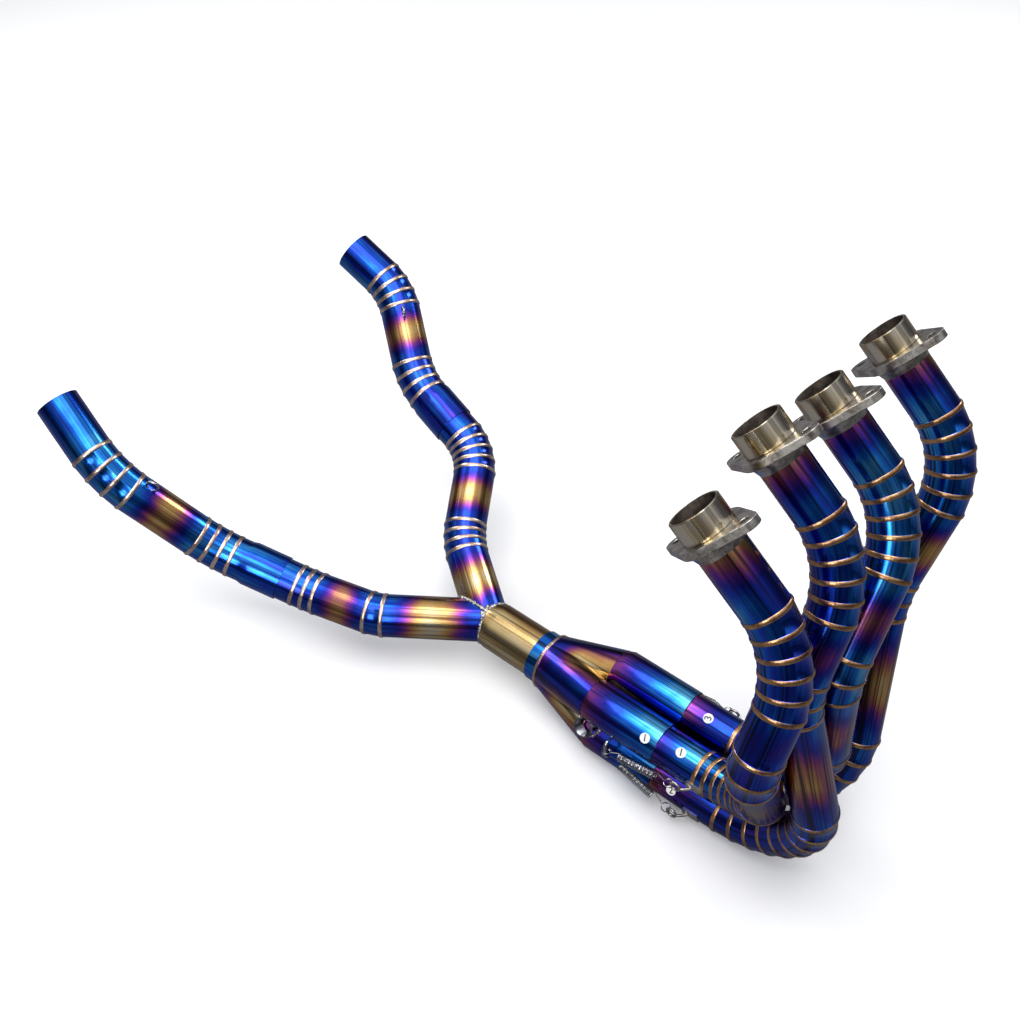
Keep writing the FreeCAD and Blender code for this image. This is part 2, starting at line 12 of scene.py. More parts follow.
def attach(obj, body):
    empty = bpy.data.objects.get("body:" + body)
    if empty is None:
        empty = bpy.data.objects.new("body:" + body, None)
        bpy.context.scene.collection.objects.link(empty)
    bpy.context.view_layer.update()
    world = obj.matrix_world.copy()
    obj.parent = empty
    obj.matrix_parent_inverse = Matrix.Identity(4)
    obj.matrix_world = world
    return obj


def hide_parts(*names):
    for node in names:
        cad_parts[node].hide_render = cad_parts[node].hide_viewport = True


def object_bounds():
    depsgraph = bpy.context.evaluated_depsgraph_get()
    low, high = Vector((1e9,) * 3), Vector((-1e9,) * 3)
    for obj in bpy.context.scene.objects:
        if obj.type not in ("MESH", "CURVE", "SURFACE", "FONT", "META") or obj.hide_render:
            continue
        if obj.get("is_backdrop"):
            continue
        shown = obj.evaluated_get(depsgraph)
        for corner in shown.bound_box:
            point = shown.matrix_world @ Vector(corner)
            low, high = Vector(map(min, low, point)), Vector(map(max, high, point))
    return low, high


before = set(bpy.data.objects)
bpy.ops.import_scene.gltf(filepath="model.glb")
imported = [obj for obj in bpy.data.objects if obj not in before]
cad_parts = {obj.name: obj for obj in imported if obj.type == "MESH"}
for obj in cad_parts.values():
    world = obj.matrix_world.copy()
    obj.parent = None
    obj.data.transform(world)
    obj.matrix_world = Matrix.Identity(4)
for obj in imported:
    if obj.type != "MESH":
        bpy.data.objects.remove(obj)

# A four-cylinder motorcycle exhaust header: four mitred pipes, a collector, a Y pipe
# and two link pipes. Everything is in metres in the frame's own axes.

LOG = logging.getLogger("exhaust_header")
MM = 0.001
X_AXIS = Vector((1.0, 0.0, 0.0))
Y_AXIS = Vector((0.0, 1.0, 0.0))
Z_AXIS = Vector((0.0, 0.0, 1.0))
SMOOTH_ANGLE = math.radians(38)
TURN = 2.0 * math.pi


class Side(Enum):
    """The side of the collector's axis that a piece is on."""

    NEAR = -1
    FAR = 1


class Finish(Enum):
    """Names of the materials."""

    HEADER_SKIN = "header_skin"
    TAIL_SKIN = "tail_skin"
    HEADER_BEAD = "header_bead"
    TAIL_BEAD = "tail_bead"
    INSIDE = "tube_inside"
    POLISHED = "polished_steel"
    FORGED = "forged_flange"
    WIRE = "spring_wire"
    BOSS = "sensor_boss"
    DABS = "weld_dabs"
    PAPER = "label_paper"
    INK = "label_ink"


@dataclass(frozen=True)
class TubeSizes:
    """Sizes of a mitred tube and its weld beads."""

    radius: float
    wall: float = 1.2 * MM
    bead_rise: float = 0.9 * MM
    bead_half_width: float = 2.5 * MM
    ripples: int = 58
    ripple_rise: float = 0.16 * MM
    step: float = 6.0 * MM
    around: int = 96


@dataclass(frozen=True)
class HeaderSizes:
    """The route of one header pipe, in millimetres and degrees."""

    number: int
    rim: tuple[float, float, float]
    upper_run: float
    lean: float
    swing: float
    middle_run: float
    lower_pitch: float
    bend_end: float
    side: int
    level: int
    lower_rings: int


@dataclass(frozen=True)
class TailStraight:
    """One straight of a tail pipe and the bend after it, in degrees and millimetres."""

    heading: float
    climb: float
    run: float
    rings: int
    pitch: float


@dataclass(frozen=True)
class CollectorSizes:
    """The collector, in metres, measured forward from its outlet lip."""

    half_spacing: float = 25.8 * MM
    socket_radius: float = 24.3 * MM
    socket_bore: float = 22.8 * MM
    outlet_radius: float = 30.55 * MM
    outlet_bore: float = 29.05 * MM
    cone_start: float = 15.0 * MM
    cone_end: float = 100.0 * MM
    mouth: float = 187.0 * MM
    lobe_run_in: float = 10.0 * MM
    lobe_step: float = 1.0 * MM
    insertion: float = 40.0 * MM


HEADERS = (
    HeaderSizes(1, (212.0, -68.0, 444.0), 103.0, 29.5, 0.0, 44.5, 14.5, 238.0, -1, 1, 9),
    HeaderSizes(2, (209.0, 22.5, 468.5), 95.0, 33.5, 1.5, 59.5, 21.5, 267.0, -1, -1, 9),
    HeaderSizes(3, (222.0, 104.0, 456.5), 92.0, 42.0, 3.0, 78.0, 16.5, 246.0, 1, 1, 10),
    HeaderSizes(4, (224.0, 215.0, 447.0), 93.0, 30.5, -6.5, 82.0, 21.0, 254.0, 1, -1, 9),
)
TAILS = {
    Side.NEAR: (
        TailStraight(-36.8, 2.6, 122.5, 2, 17.5),
        TailStraight(-16.7, 3.8, 67.0, 3, 14.0),
        TailStraight(-21.1, 18.0, 84.0, 4, 16.4),
        TailStraight(-27.8, 43.1, 94.5, 4, 19.7),
        TailStraight(7.8, 37.0, 71.0, 0, 0.0),
    ),
    Side.FAR: (
        TailStraight(33.8, 15.0, 90.5, 4, 12.2),
        TailStraight(59.8, 19.1, 73.0, 5, 13.0),
        TailStraight(8.2, 21.1, 73.7, 4, 15.0),
        TailStraight(35.7, 37.9, 74.6, 4, 14.7),
        TailStraight(-3.2, 27.5, 53.0, 0, 0.0),
    ),
}
COLLECTOR = CollectorSizes()
PRIMARY = TubeSizes(radius=22.5 * MM)
BRANCH = TubeSizes(radius=25.4 * MM)
INLET_RADIUS = 28.75 * MM
OUTLET_LIP = Vector(HEADERS[0].rim) * -MM
PORT_DROP = math.radians(41.5)
PORT_DIRECTION = Vector((math.cos(PORT_DROP), 0.0, -math.sin(PORT_DROP)))
UPPER_RINGS = 6
UPPER_PITCH = 18.5 * MM
MIDDLE_RINGS = 3
MIDDLE_PITCH = 19.0 * MM
FLANGE_DEPTH = 22.0 * MM
FLANGE_THICKNESS = 7.5 * MM
CROTCH_DISTANCE = 79.0 * MM
SLEEVE_START = 20.0 * MM
SLEEVE_LENGTH = 43.0 * MM
SLEEVE_TAPER = 6.0 * MM
SLEEVE_OVERLAP = 36.0 * MM
SLIP_GAP = 0.3 * MM


# Routes

def bend_corners(start: Vector, direction: Vector, next_direction: Vector, rings: int,
                 pitch: float) -> list[Vector]:
    """Corners of a mitred bend that turns by the same angle at each ring.

    Args:
        start: The first corner.
        direction: Unit direction before the bend.
        next_direction: Unit direction after the bend.
        rings: Number of mitred welds.
        pitch: Distance between two welds.

    Returns:
        One corner for each weld.
    """
    angle = direction.angle(next_direction)
    step = Quaternion(direction.cross(next_direction).normalized(), angle / rings)
    corners = [start.copy()]
    heading = direction.copy()
    for _ in range(rings - 1):
        heading = step @ heading
        corners.append(corners[-1] + heading * pitch)
    return corners


@dataclass
class Route:
    """A centre line: its corners, and which of them are welds."""

    corners: list[Vector]
    welded: list[bool]


def header_route(sizes: HeaderSizes) -> Route:
    """The route of one header pipe.

    Args:
        sizes: That pipe's own sizes.

    Returns:
        The route from the port's rim to the pipe's end in the socket.
    """
    rim = Vector(sizes.rim) * MM + OUTLET_LIP
    lean = math.radians(sizes.lean)
    swing = math.radians(sizes.swing)
    flat = math.cos(lean)
    middle = Vector((flat * math.sin(swing), -math.sin(lean), -flat * math.cos(swing)))
    upper_start = rim + PORT_DIRECTION * sizes.upper_run * MM
    upper = bend_corners(upper_start, PORT_DIRECTION, middle, UPPER_RINGS, UPPER_PITCH)
    middle_start = upper[-1] + middle * sizes.middle_run * MM
    offset = Vector((0.0, sizes.side, sizes.level)) * COLLECTOR.half_spacing
    bend_end = OUTLET_LIP + offset + X_AXIS * sizes.bend_end * MM
    lower = -Z_AXIS
    kink: list[Vector] = []
    bend: list[Vector] = []
    bend_start = bend_end
    for _ in range(40):
        kink = bend_corners(middle_start, middle, lower, MIDDLE_RINGS, MIDDLE_PITCH)
        bend = bend_corners(Vector(), lower, -X_AXIS, sizes.lower_rings, sizes.lower_pitch * MM)
        bend_start = bend_end - bend[-1]
        lower = (lower + (bend_start - kink[-1]).normalized()).normalized()
    bend = [corner + bend_start for corner in bend]
    pipe_end = OUTLET_LIP + offset + X_AXIS * (COLLECTOR.mouth - COLLECTOR.insertion)
    welds = upper + kink + bend
    return Route([rim] + welds + [pipe_end], [False] + [True] * len(welds) + [False])


def tail_direction(straight: TailStraight) -> Vector:
    """Unit direction of one straight of a tail pipe."""
    heading = math.radians(straight.heading)
    climb = math.radians(straight.climb)
    flat = math.cos(climb)
    return Vector((-flat * math.cos(heading), flat * math.sin(heading), math.sin(climb)))


def tail_bends(side: Side) -> tuple[list[list[Vector]], Vector]:
    """The bends of one tail pipe and the end of its last straight.

    Args:
        side: Which tail pipe.

    Returns:
        A list of corners for each bend, and the end point.
    """
    corner = OUTLET_LIP - X_AXIS * CROTCH_DISTANCE
    straights = TAILS[side]
    bends = []
    for straight, following in zip(straights, straights[1:]):
        start = corner + tail_direction(straight) * straight.run * MM
        directions = (tail_direction(straight), tail_direction(following))
        bends.append(bend_corners(start, *directions, straight.rings, straight.pitch * MM))
        corner = bends[-1][-1]
    return bends, corner + tail_direction(straights[-1]) * straights[-1].run * MM


def smoothstep(low: float, high: float, value: float) -> float:
    """0 below low, 1 above high, and an even curve between."""
    share = min(1.0, max(0.0, (value - low) / (high - low)))
    return share * share * (3.0 - 2.0 * share)


def toward(first: Vector, second: Vector, angle: float) -> Vector:
    """The first vector turned towards the second by an angle."""
    return first * math.cos(angle) + second * math.sin(angle)


def full_turn(count: int) -> list[float]:
    """Evenly spaced angles once round."""
    return [TURN * index / count for index in range(count)]


def square_to(axis: Vector) -> tuple[Vector, Vector]:
    """Two unit directions square to an axis and to each other."""
    across = axis.orthogonal().normalized()
    return across, axis.cross(across)


# Materials

@dataclass(frozen=True)
class MetalLook:
    """A finish of bare metal."""

    color: tuple[float, float, float]
    shade: tuple[float, float, float]
    roughness: float
    grain_scale: float
    bump: float


METALS = {
    Finish.HEADER_BEAD: MetalLook((0.62, 0.36, 0.17), (0.24, 0.12, 0.07), 0.30, 900.0, 0.10),
    Finish.TAIL_BEAD: MetalLook((0.80, 0.62, 0.48), (0.40, 0.26, 0.22), 0.30, 900.0, 0.10),
    Finish.INSIDE: MetalLook((0.16, 0.13, 0.11), (0.05, 0.04, 0.035), 0.55, 300.0, 0.08),
    Finish.FORGED: MetalLook((0.58, 0.55, 0.50), (0.22, 0.19, 0.16), 0.30, 420.0, 0.16),
    Finish.WIRE: MetalLook((0.52, 0.52, 0.52), (0.22, 0.22, 0.23), 0.18, 800.0, 0.03),
    Finish.BOSS: MetalLook((0.34, 0.35, 0.38), (0.10, 0.10, 0.12), 0.24, 600.0, 0.08),
    Finish.DABS: MetalLook((0.62, 0.60, 0.58), (0.20, 0.18, 0.17), 0.34, 500.0, 0.12),
}


@dataclass(frozen=True)
class TintLook:
    """A heat-tinted finish: its roughness and the strength of its painted dark reflection bands."""

    roughness: float
    bands: float


@dataclass(frozen=True)
class PlainLook:
    """A matt finish of one colour."""

    color: tuple[float, float, float]
    roughness: float


TINTS = {
    Finish.HEADER_SKIN: TintLook(0.11, 0.88),
    Finish.TAIL_SKIN: TintLook(0.13, 0.62),
    Finish.POLISHED: TintLook(0.12, 0.50),
}
PLAINS = {
    Finish.PAPER: PlainLook((0.86, 0.86, 0.84), 0.5),
    Finish.INK: PlainLook((0.02, 0.02, 0.025), 0.4),
}

# Oxide colours from cool to hot, as the metal shows them away from a weld and beside it
HEAT_STOPS = (
    (0.00, (0.62, 0.57, 0.47)),
    (0.12, (0.66, 0.50, 0.24)),
    (0.24, (0.58, 0.33, 0.10)),
    (0.36, (0.42, 0.15, 0.12)),
    (0.46, (0.27, 0.05, 0.20)),
    (0.56, (0.11, 0.025, 0.33)),
    (0.66, (0.015, 0.02, 0.34)),
    (0.77, (0.004, 0.05, 0.50)),
    (0.88, (0.006, 0.18, 0.66)),
    (1.00, (0.10, 0.46, 0.76)),
)


@dataclass(frozen=True)
class StreakLayer:
    """One noise along the streaks: its stretch, scale and detail, and how far it moves the tint."""

    stretch: tuple[float, float, float]
    scale: float
    detail: float
    weight: float


BROAD_STREAKS = StreakLayer((1.0, 1.0, 0.35), 1.6, 3.0, 0.42)
FINE_STREAKS = StreakLayer((1.0, 1.0, 0.10), 9.0, 5.0, 0.26)
PATCHES = StreakLayer((0.6, 0.6, 1.3), 2.2, 2.0, 0.30)
# Painted reflection: near-black lengthwise lines mixed into the colour stand in for dark surroundings
# mirrored by the polished tubes
PAINTED_REFLECTION_LINES = StreakLayer((1.0, 1.0, 0.05), 4.2, 4.0, 0.0)
PAINTED_REFLECTION_STOPS = (
    (0.40, (1.0, 1.0, 1.0)),
    (0.46, (0.0, 0.0, 0.0)),
    (0.56, (0.0, 0.0, 0.0)),
    (0.62, (0.75, 0.75, 0.75)),
)
PAINTED_REFLECTION_COLOR = (0.004, 0.004, 0.012, 1.0)


class NodeSheet:
    """Short calls for building a node tree."""

    def __init__(self, tree: bpy.types.NodeTree) -> None:
        """Start on a tree.

        Args:
            tree: The node tree that gets the nodes.
        """
        self.tree = tree

    def add(self, kind: str, **settings: object) -> bpy.types.Node:
        """Add a node and set its properties."""
        node = self.tree.nodes.new(kind)
        for name, value in settings.items():
            setattr(node, name, value)
        return node

    def link(self, source: bpy.types.NodeSocket, target: bpy.types.NodeSocket) -> None:
        """Join two sockets."""
        self.tree.links.new(source, target)

    def math(self, operation: str, first: object, second: object) -> bpy.types.NodeSocket:
        """A math node whose inputs are sockets or numbers."""
        node = self.add("ShaderNodeMath", operation=operation)
        for socket, value in zip(node.inputs, (first, second)):
            if isinstance(value, (int, float)):
                socket.default_value = value
            else:
                self.link(value, socket)
        return node.outputs[0]

    def noise(self, vector: bpy.types.NodeSocket, scale: float, detail: float) -> bpy.types.NodeSocket:
        """A noise texture's value."""
        node = self.add("ShaderNodeTexNoise")
        node.inputs["Scale"].default_value = scale
        node.inputs["Detail"].default_value = detail
        self.link(vector, node.inputs["Vector"])
        return node.outputs["Fac"]

    def streaks(self, vector: bpy.types.NodeSocket, layer: StreakLayer) -> bpy.types.NodeSocket:
        """The value of one streak layer's noise."""
        node = self.add("ShaderNodeMapping")
        node.inputs["Scale"].default_value = layer.stretch
        self.link(vector, node.inputs["Vector"])
        return self.noise(node.outputs["Vector"], layer.scale, layer.detail)

    def ramp(self, value: bpy.types.NodeSocket, stops: Sequence[tuple]) -> bpy.types.NodeSocket:
        """A color ramp with the given stops."""
        node = self.add("ShaderNodeValToRGB")
        elements = node.color_ramp.elements
        while len(elements) < len(stops):
            elements.new(0.5)
        for element, (position, color) in zip(elements, stops):
            element.position = position
            element.color = (*color, 1.0)
        self.link(value, node.inputs["Fac"])
        return node.outputs["Color"]


class Materials:
    """All materials, with the effects that they share as node groups."""

    ROUGH_STREAKS = 0.14
    COAT_WEIGHT = 0.25
    COAT_ROUGHNESS = 0.12
    BUMP_DISTANCE = 0.3 * MM
    CLOUD_SCALE = 90.0
    CLOUD_STOPS = ((0.32, (1.0, 1.0, 1.0)), (0.62, (0.0, 0.0, 0.0)))
    PAPER_SCALE = 600.0
    PAPER_SHADE = 0.92

    def __init__(self) -> None:
        """Build the shared groups and an empty store."""
        self.heat_group = self._heat_group()
        self.grain_group = self._grain_group()
        self.made: dict[Finish, bpy.types.Material] = {}

    def get(self, finish: Finish) -> bpy.types.Material:
        """The material for a finish, made on first use."""
        if finish not in self.made:
            maker = self._tinted if finish in TINTS else self._plain if finish in PLAINS else self._metal
            self.made[finish] = maker(finish)
        return self.made[finish]

    @staticmethod
    def _group(name: str, inputs: Sequence[tuple], outputs: Sequence[tuple]) -> bpy.types.NodeTree:
        """An empty node group with its sockets."""
        group = bpy.data.node_groups.new(name, "ShaderNodeTree")
        for label, kind in inputs:
            group.interface.new_socket(label, in_out="INPUT", socket_type=kind)
        for label, kind in outputs:
            group.interface.new_socket(label, in_out="OUTPUT", socket_type=kind)
        return group

    def _heat_group(self) -> bpy.types.NodeTree:
        """Oxide colour with lengthwise streaks and painted dark reflection bands."""
        inputs = (("Heat", "NodeSocketFloat"), ("Streak", "NodeSocketVector"), ("Bands", "NodeSocketFloat"))
        outputs = (("Color", "NodeSocketColor"), ("Roughness", "NodeSocketFloat"))
        group = self._group("heat_tint", inputs, outputs)
        sheet = NodeSheet(group)
        entry = sheet.add("NodeGroupInput")
        leave = sheet.add("NodeGroupOutput")
        streak = entry.outputs["Streak"]
        fine = sheet.streaks(streak, FINE_STREAKS)
        values = ((sheet.streaks(streak, BROAD_STREAKS), BROAD_STREAKS), (fine, FINE_STREAKS),
                  (sheet.streaks(streak, PATCHES), PATCHES))
        heat = entry.outputs["Heat"]
        for value, layer in values:
            shift = sheet.math("MULTIPLY", sheet.math("SUBTRACT", value, 0.5), layer.weight)
            heat = sheet.math("ADD", heat, shift)
        # Painted reflection: thresholded lengthwise noise mixes near-black into the oxide colour
        dark = sheet.ramp(sheet.streaks(streak, PAINTED_REFLECTION_LINES), PAINTED_REFLECTION_STOPS)
        mix = sheet.add("ShaderNodeMix", data_type="RGBA", blend_type="MIX")
        sheet.link(sheet.math("MULTIPLY", dark, entry.outputs["Bands"]), mix.inputs["Factor"])
        sheet.link(sheet.ramp(heat, HEAT_STOPS), mix.inputs["A"])
        mix.inputs["B"].default_value = PAINTED_REFLECTION_COLOR
        sheet.link(mix.outputs["Result"], leave.inputs["Color"])
        sheet.link(sheet.math("MULTIPLY", fine, self.ROUGH_STREAKS), leave.inputs["Roughness"])
        return group

    def _grain_group(self) -> bpy.types.NodeTree:
        """Fine speckle and cloudy wear of bare metal."""
        inputs = (("Scale", "NodeSocketFloat"), ("Color", "NodeSocketColor"), ("Shade", "NodeSocketColor"))
        outputs = (("Color", "NodeSocketColor"), ("Height", "NodeSocketFloat"))
        group = self._group("metal_grain", inputs, outputs)
        sheet = NodeSheet(group)
        entry = sheet.add("NodeGroupInput")
        leave = sheet.add("NodeGroupOutput")
        place = sheet.add("ShaderNodeTexCoord").outputs["Object"]
        speck = sheet.add("ShaderNodeTexNoise")
        speck.inputs["Detail"].default_value = 3.0
        sheet.link(place, speck.inputs["Vector"])
        sheet.link(entry.outputs["Scale"], speck.inputs["Scale"])
        cloud = sheet.noise(place, self.CLOUD_SCALE, 4.0)
        share = sheet.math("MULTIPLY", cloud, sheet.math("ADD", speck.outputs["Fac"], 0.5))
        spread = sheet.ramp(share, self.CLOUD_STOPS)
        mix = sheet.add("ShaderNodeMix", data_type="RGBA", blend_type="MIX")
        sheet.link(spread, mix.inputs["Factor"])
        sheet.link(entry.outputs["Color"], mix.inputs["A"])
        sheet.link(entry.outputs["Shade"], mix.inputs["B"])
        sheet.link(mix.outputs["Result"], leave.inputs["Color"])
        sheet.link(speck.outputs["Fac"], leave.inputs["Height"])
        return group

    @staticmethod
    def _blank(finish: Finish) -> tuple[bpy.types.Material, NodeSheet, bpy.types.Node]:
        """A new material, its node sheet and its surface shader."""
        material = bpy.data.materials.new(finish.value)
        material.use_nodes = True
        sheet = NodeSheet(material.node_tree)
        return material, sheet, material.node_tree.nodes["Principled BSDF"]

    def _tinted(self, finish: Finish) -> bpy.types.Material:
        """Heat-tinted polished metal that reads the heat and streak attributes."""
        look = TINTS[finish]
        material, sheet, shader = self._blank(finish)
        heat = sheet.add("ShaderNodeAttribute", attribute_name="tint_heat")
        streak = sheet.add("ShaderNodeAttribute", attribute_name="tint_streak")
        group = sheet.add("ShaderNodeGroup", node_tree=self.heat_group)
        sheet.link(heat.outputs["Fac"], group.inputs["Heat"])
        sheet.link(streak.outputs["Vector"], group.inputs["Streak"])
        # How strongly the painted dark reflection bands show on this finish
        group.inputs["Bands"].default_value = look.bands
        sheet.link(group.outputs["Color"], shader.inputs["Base Color"])
        sheet.link(sheet.math("ADD", group.outputs["Roughness"], look.roughness), shader.inputs["Roughness"])
        shader.inputs["Metallic"].default_value = 1.0
        shader.inputs["Coat Weight"].default_value = self.COAT_WEIGHT
        shader.inputs["Coat Roughness"].default_value = self.COAT_ROUGHNESS
        return material

    def _metal(self, finish: Finish) -> bpy.types.Material:
        """Bare metal with grain."""
        look = METALS[finish]
        material, sheet, shader = self._blank(finish)
        group = sheet.add("ShaderNodeGroup", node_tree=self.grain_group)
        group.inputs["Scale"].default_value = look.grain_scale
        group.inputs["Color"].default_value = (*look.color, 1.0)
        group.inputs["Shade"].default_value = (*look.shade, 1.0)
        bump = sheet.add("ShaderNodeBump")
        bump.inputs["Strength"].default_value = look.bump
        bump.inputs["Distance"].default_value = self.BUMP_DISTANCE
        sheet.link(group.outputs["Height"], bump.inputs["Height"])
        sheet.link(bump.outputs["Normal"], shader.inputs["Normal"])
        sheet.link(group.outputs["Color"], shader.inputs["Base Color"])
        shader.inputs["Roughness"].default_value = look.roughness
        shader.inputs["Metallic"].default_value = 1.0
        return material

    def _plain(self, finish: Finish) -> bpy.types.Material:
        """Paper or ink with a faint unevenness."""
        look = PLAINS[finish]
        material, sheet, shader = self._blank(finish)
        place = sheet.add("ShaderNodeTexCoord").outputs["Object"]
        value = sheet.noise(place, self.PAPER_SCALE, 2.0)
        low = tuple(channel * self.PAPER_SHADE for channel in look.color)
        sheet.link(sheet.ramp(value, ((0.3, low), (0.7, look.color))), shader.inputs["Base Color"])
        shader.inputs["Roughness"].default_value = look.roughness
        return material


# Mesh builders

class Shell:
    """Rings of points joined into a closed skin, with heat and streak attributes."""

    def __init__(self, around: int) -> None:
        """Start an empty mesh.

        Args:
            around: Number of points in each ring.
        """
        self.around = around
        self.mesh = bmesh.new()
        self.heat = self.mesh.verts.layers.float.new("tint_heat")
        self.streak = self.mesh.verts.layers.float_vector.new("tint_streak")

    def ring(self, points: Sequence[Vector], heats: Sequence[float], travelled: float) -> list:
        """Add one ring of points.

        Args:
            points: The ring's points in order.
            heats: The heat at each point.
            travelled: Distance along the piece, in metres.

        Returns:
            The new vertices.
        """
        verts = []
        for angle, point, heat in zip(full_turn(len(points)), points, heats):
            vert = self.mesh.verts.new(point)
            vert[self.heat] = heat
            vert[self.streak] = (math.cos(angle), math.sin(angle), travelled * 10.0)
            verts.append(vert)
        return verts

    def join(self, first: list, second: list, slot: int) -> None:
        """Fill the band between two rings with quads."""
        count = len(first)
        for index in range(count):
            after = (index + 1) % count
            face = self.mesh.faces.new((first[index], first[after], second[after], second[index]))
            face.material_index = slot
            face.smooth = True

    def loft(self, rings: list, slot: int, closed: bool = False) -> None:
        """Join each ring to the next, and the last to the first if closed."""
        after = rings[1:] + rings[:1] if closed else rings[1:]
        for first, second in zip(rings, after):
            self.join(first, second, slot)

    def cap(self, ring: list, slot: int) -> None:
        """Close a ring with a fan of triangles round its centre."""
        centre = sum((vert.co for vert in ring), Vector()) / len(ring)
        middle = self.mesh.verts.new(centre)
        middle[self.heat] = ring[0][self.heat]
        middle[self.streak] = (0.0, 0.0, ring[0][self.streak][2])
        for index, vert in enumerate(ring):
            face = self.mesh.faces.new((vert, ring[(index + 1) % len(ring)], middle))
            face.material_index = slot

    def finish(self, name: str, materials: Sequence[bpy.types.Material]) -> bpy.types.Object:
        """Turn the mesh into an object with outward normals."""
        bmesh.ops.recalc_face_normals(self.mesh, faces=self.mesh.faces)
        data = bpy.data.meshes.new(name)
        self.mesh.to_mesh(data)
        self.mesh.free()
        for material in materials:
            data.materials.append(material)
        data.shade_smooth()
        data.set_sharp_from_angle(angle=SMOOTH_ANGLE)
        piece = bpy.data.objects.new(name, data)
        bpy.context.collection.objects.link(piece)
        return piece


@dataclass(frozen=True)
class TubeHeat:
    """Heat of a welded tube: hot beside the welds, cooler along the straights."""

    depth: float
    first: float
    last: float
    turn: float

    PEAK = 0.80
    SIDE = 0.07
    SHORT = 30.0 * MM
    LONG = 85.0 * MM
    COOL_RANGE = (0.12, 0.95)

    def at(self, depth: float, length: float, cool: float, angle: float) -> float:
        """Heat at one place.

        Args:
            depth: How far the middle of a long straight cools.
            length: Length of the straight.
            cool: 0 at a weld, 1 at the coolest place of the straight.
            angle: Angle around the tube.

        Returns:
            A value that the heat tint turns into a colour.
        """
        reach = smoothstep(self.SHORT, self.LONG, length)
        cooled = depth * reach * smoothstep(*self.COOL_RANGE, cool)
        return self.PEAK - cooled + self.SIDE * math.cos(angle - self.turn)

    def depth_of(self, segment: int, count: int) -> float:
        """How far one straight cools, counted from the tube's start."""
        if segment == 0:
            return self.first
        return self.last if segment == count - 1 else self.depth


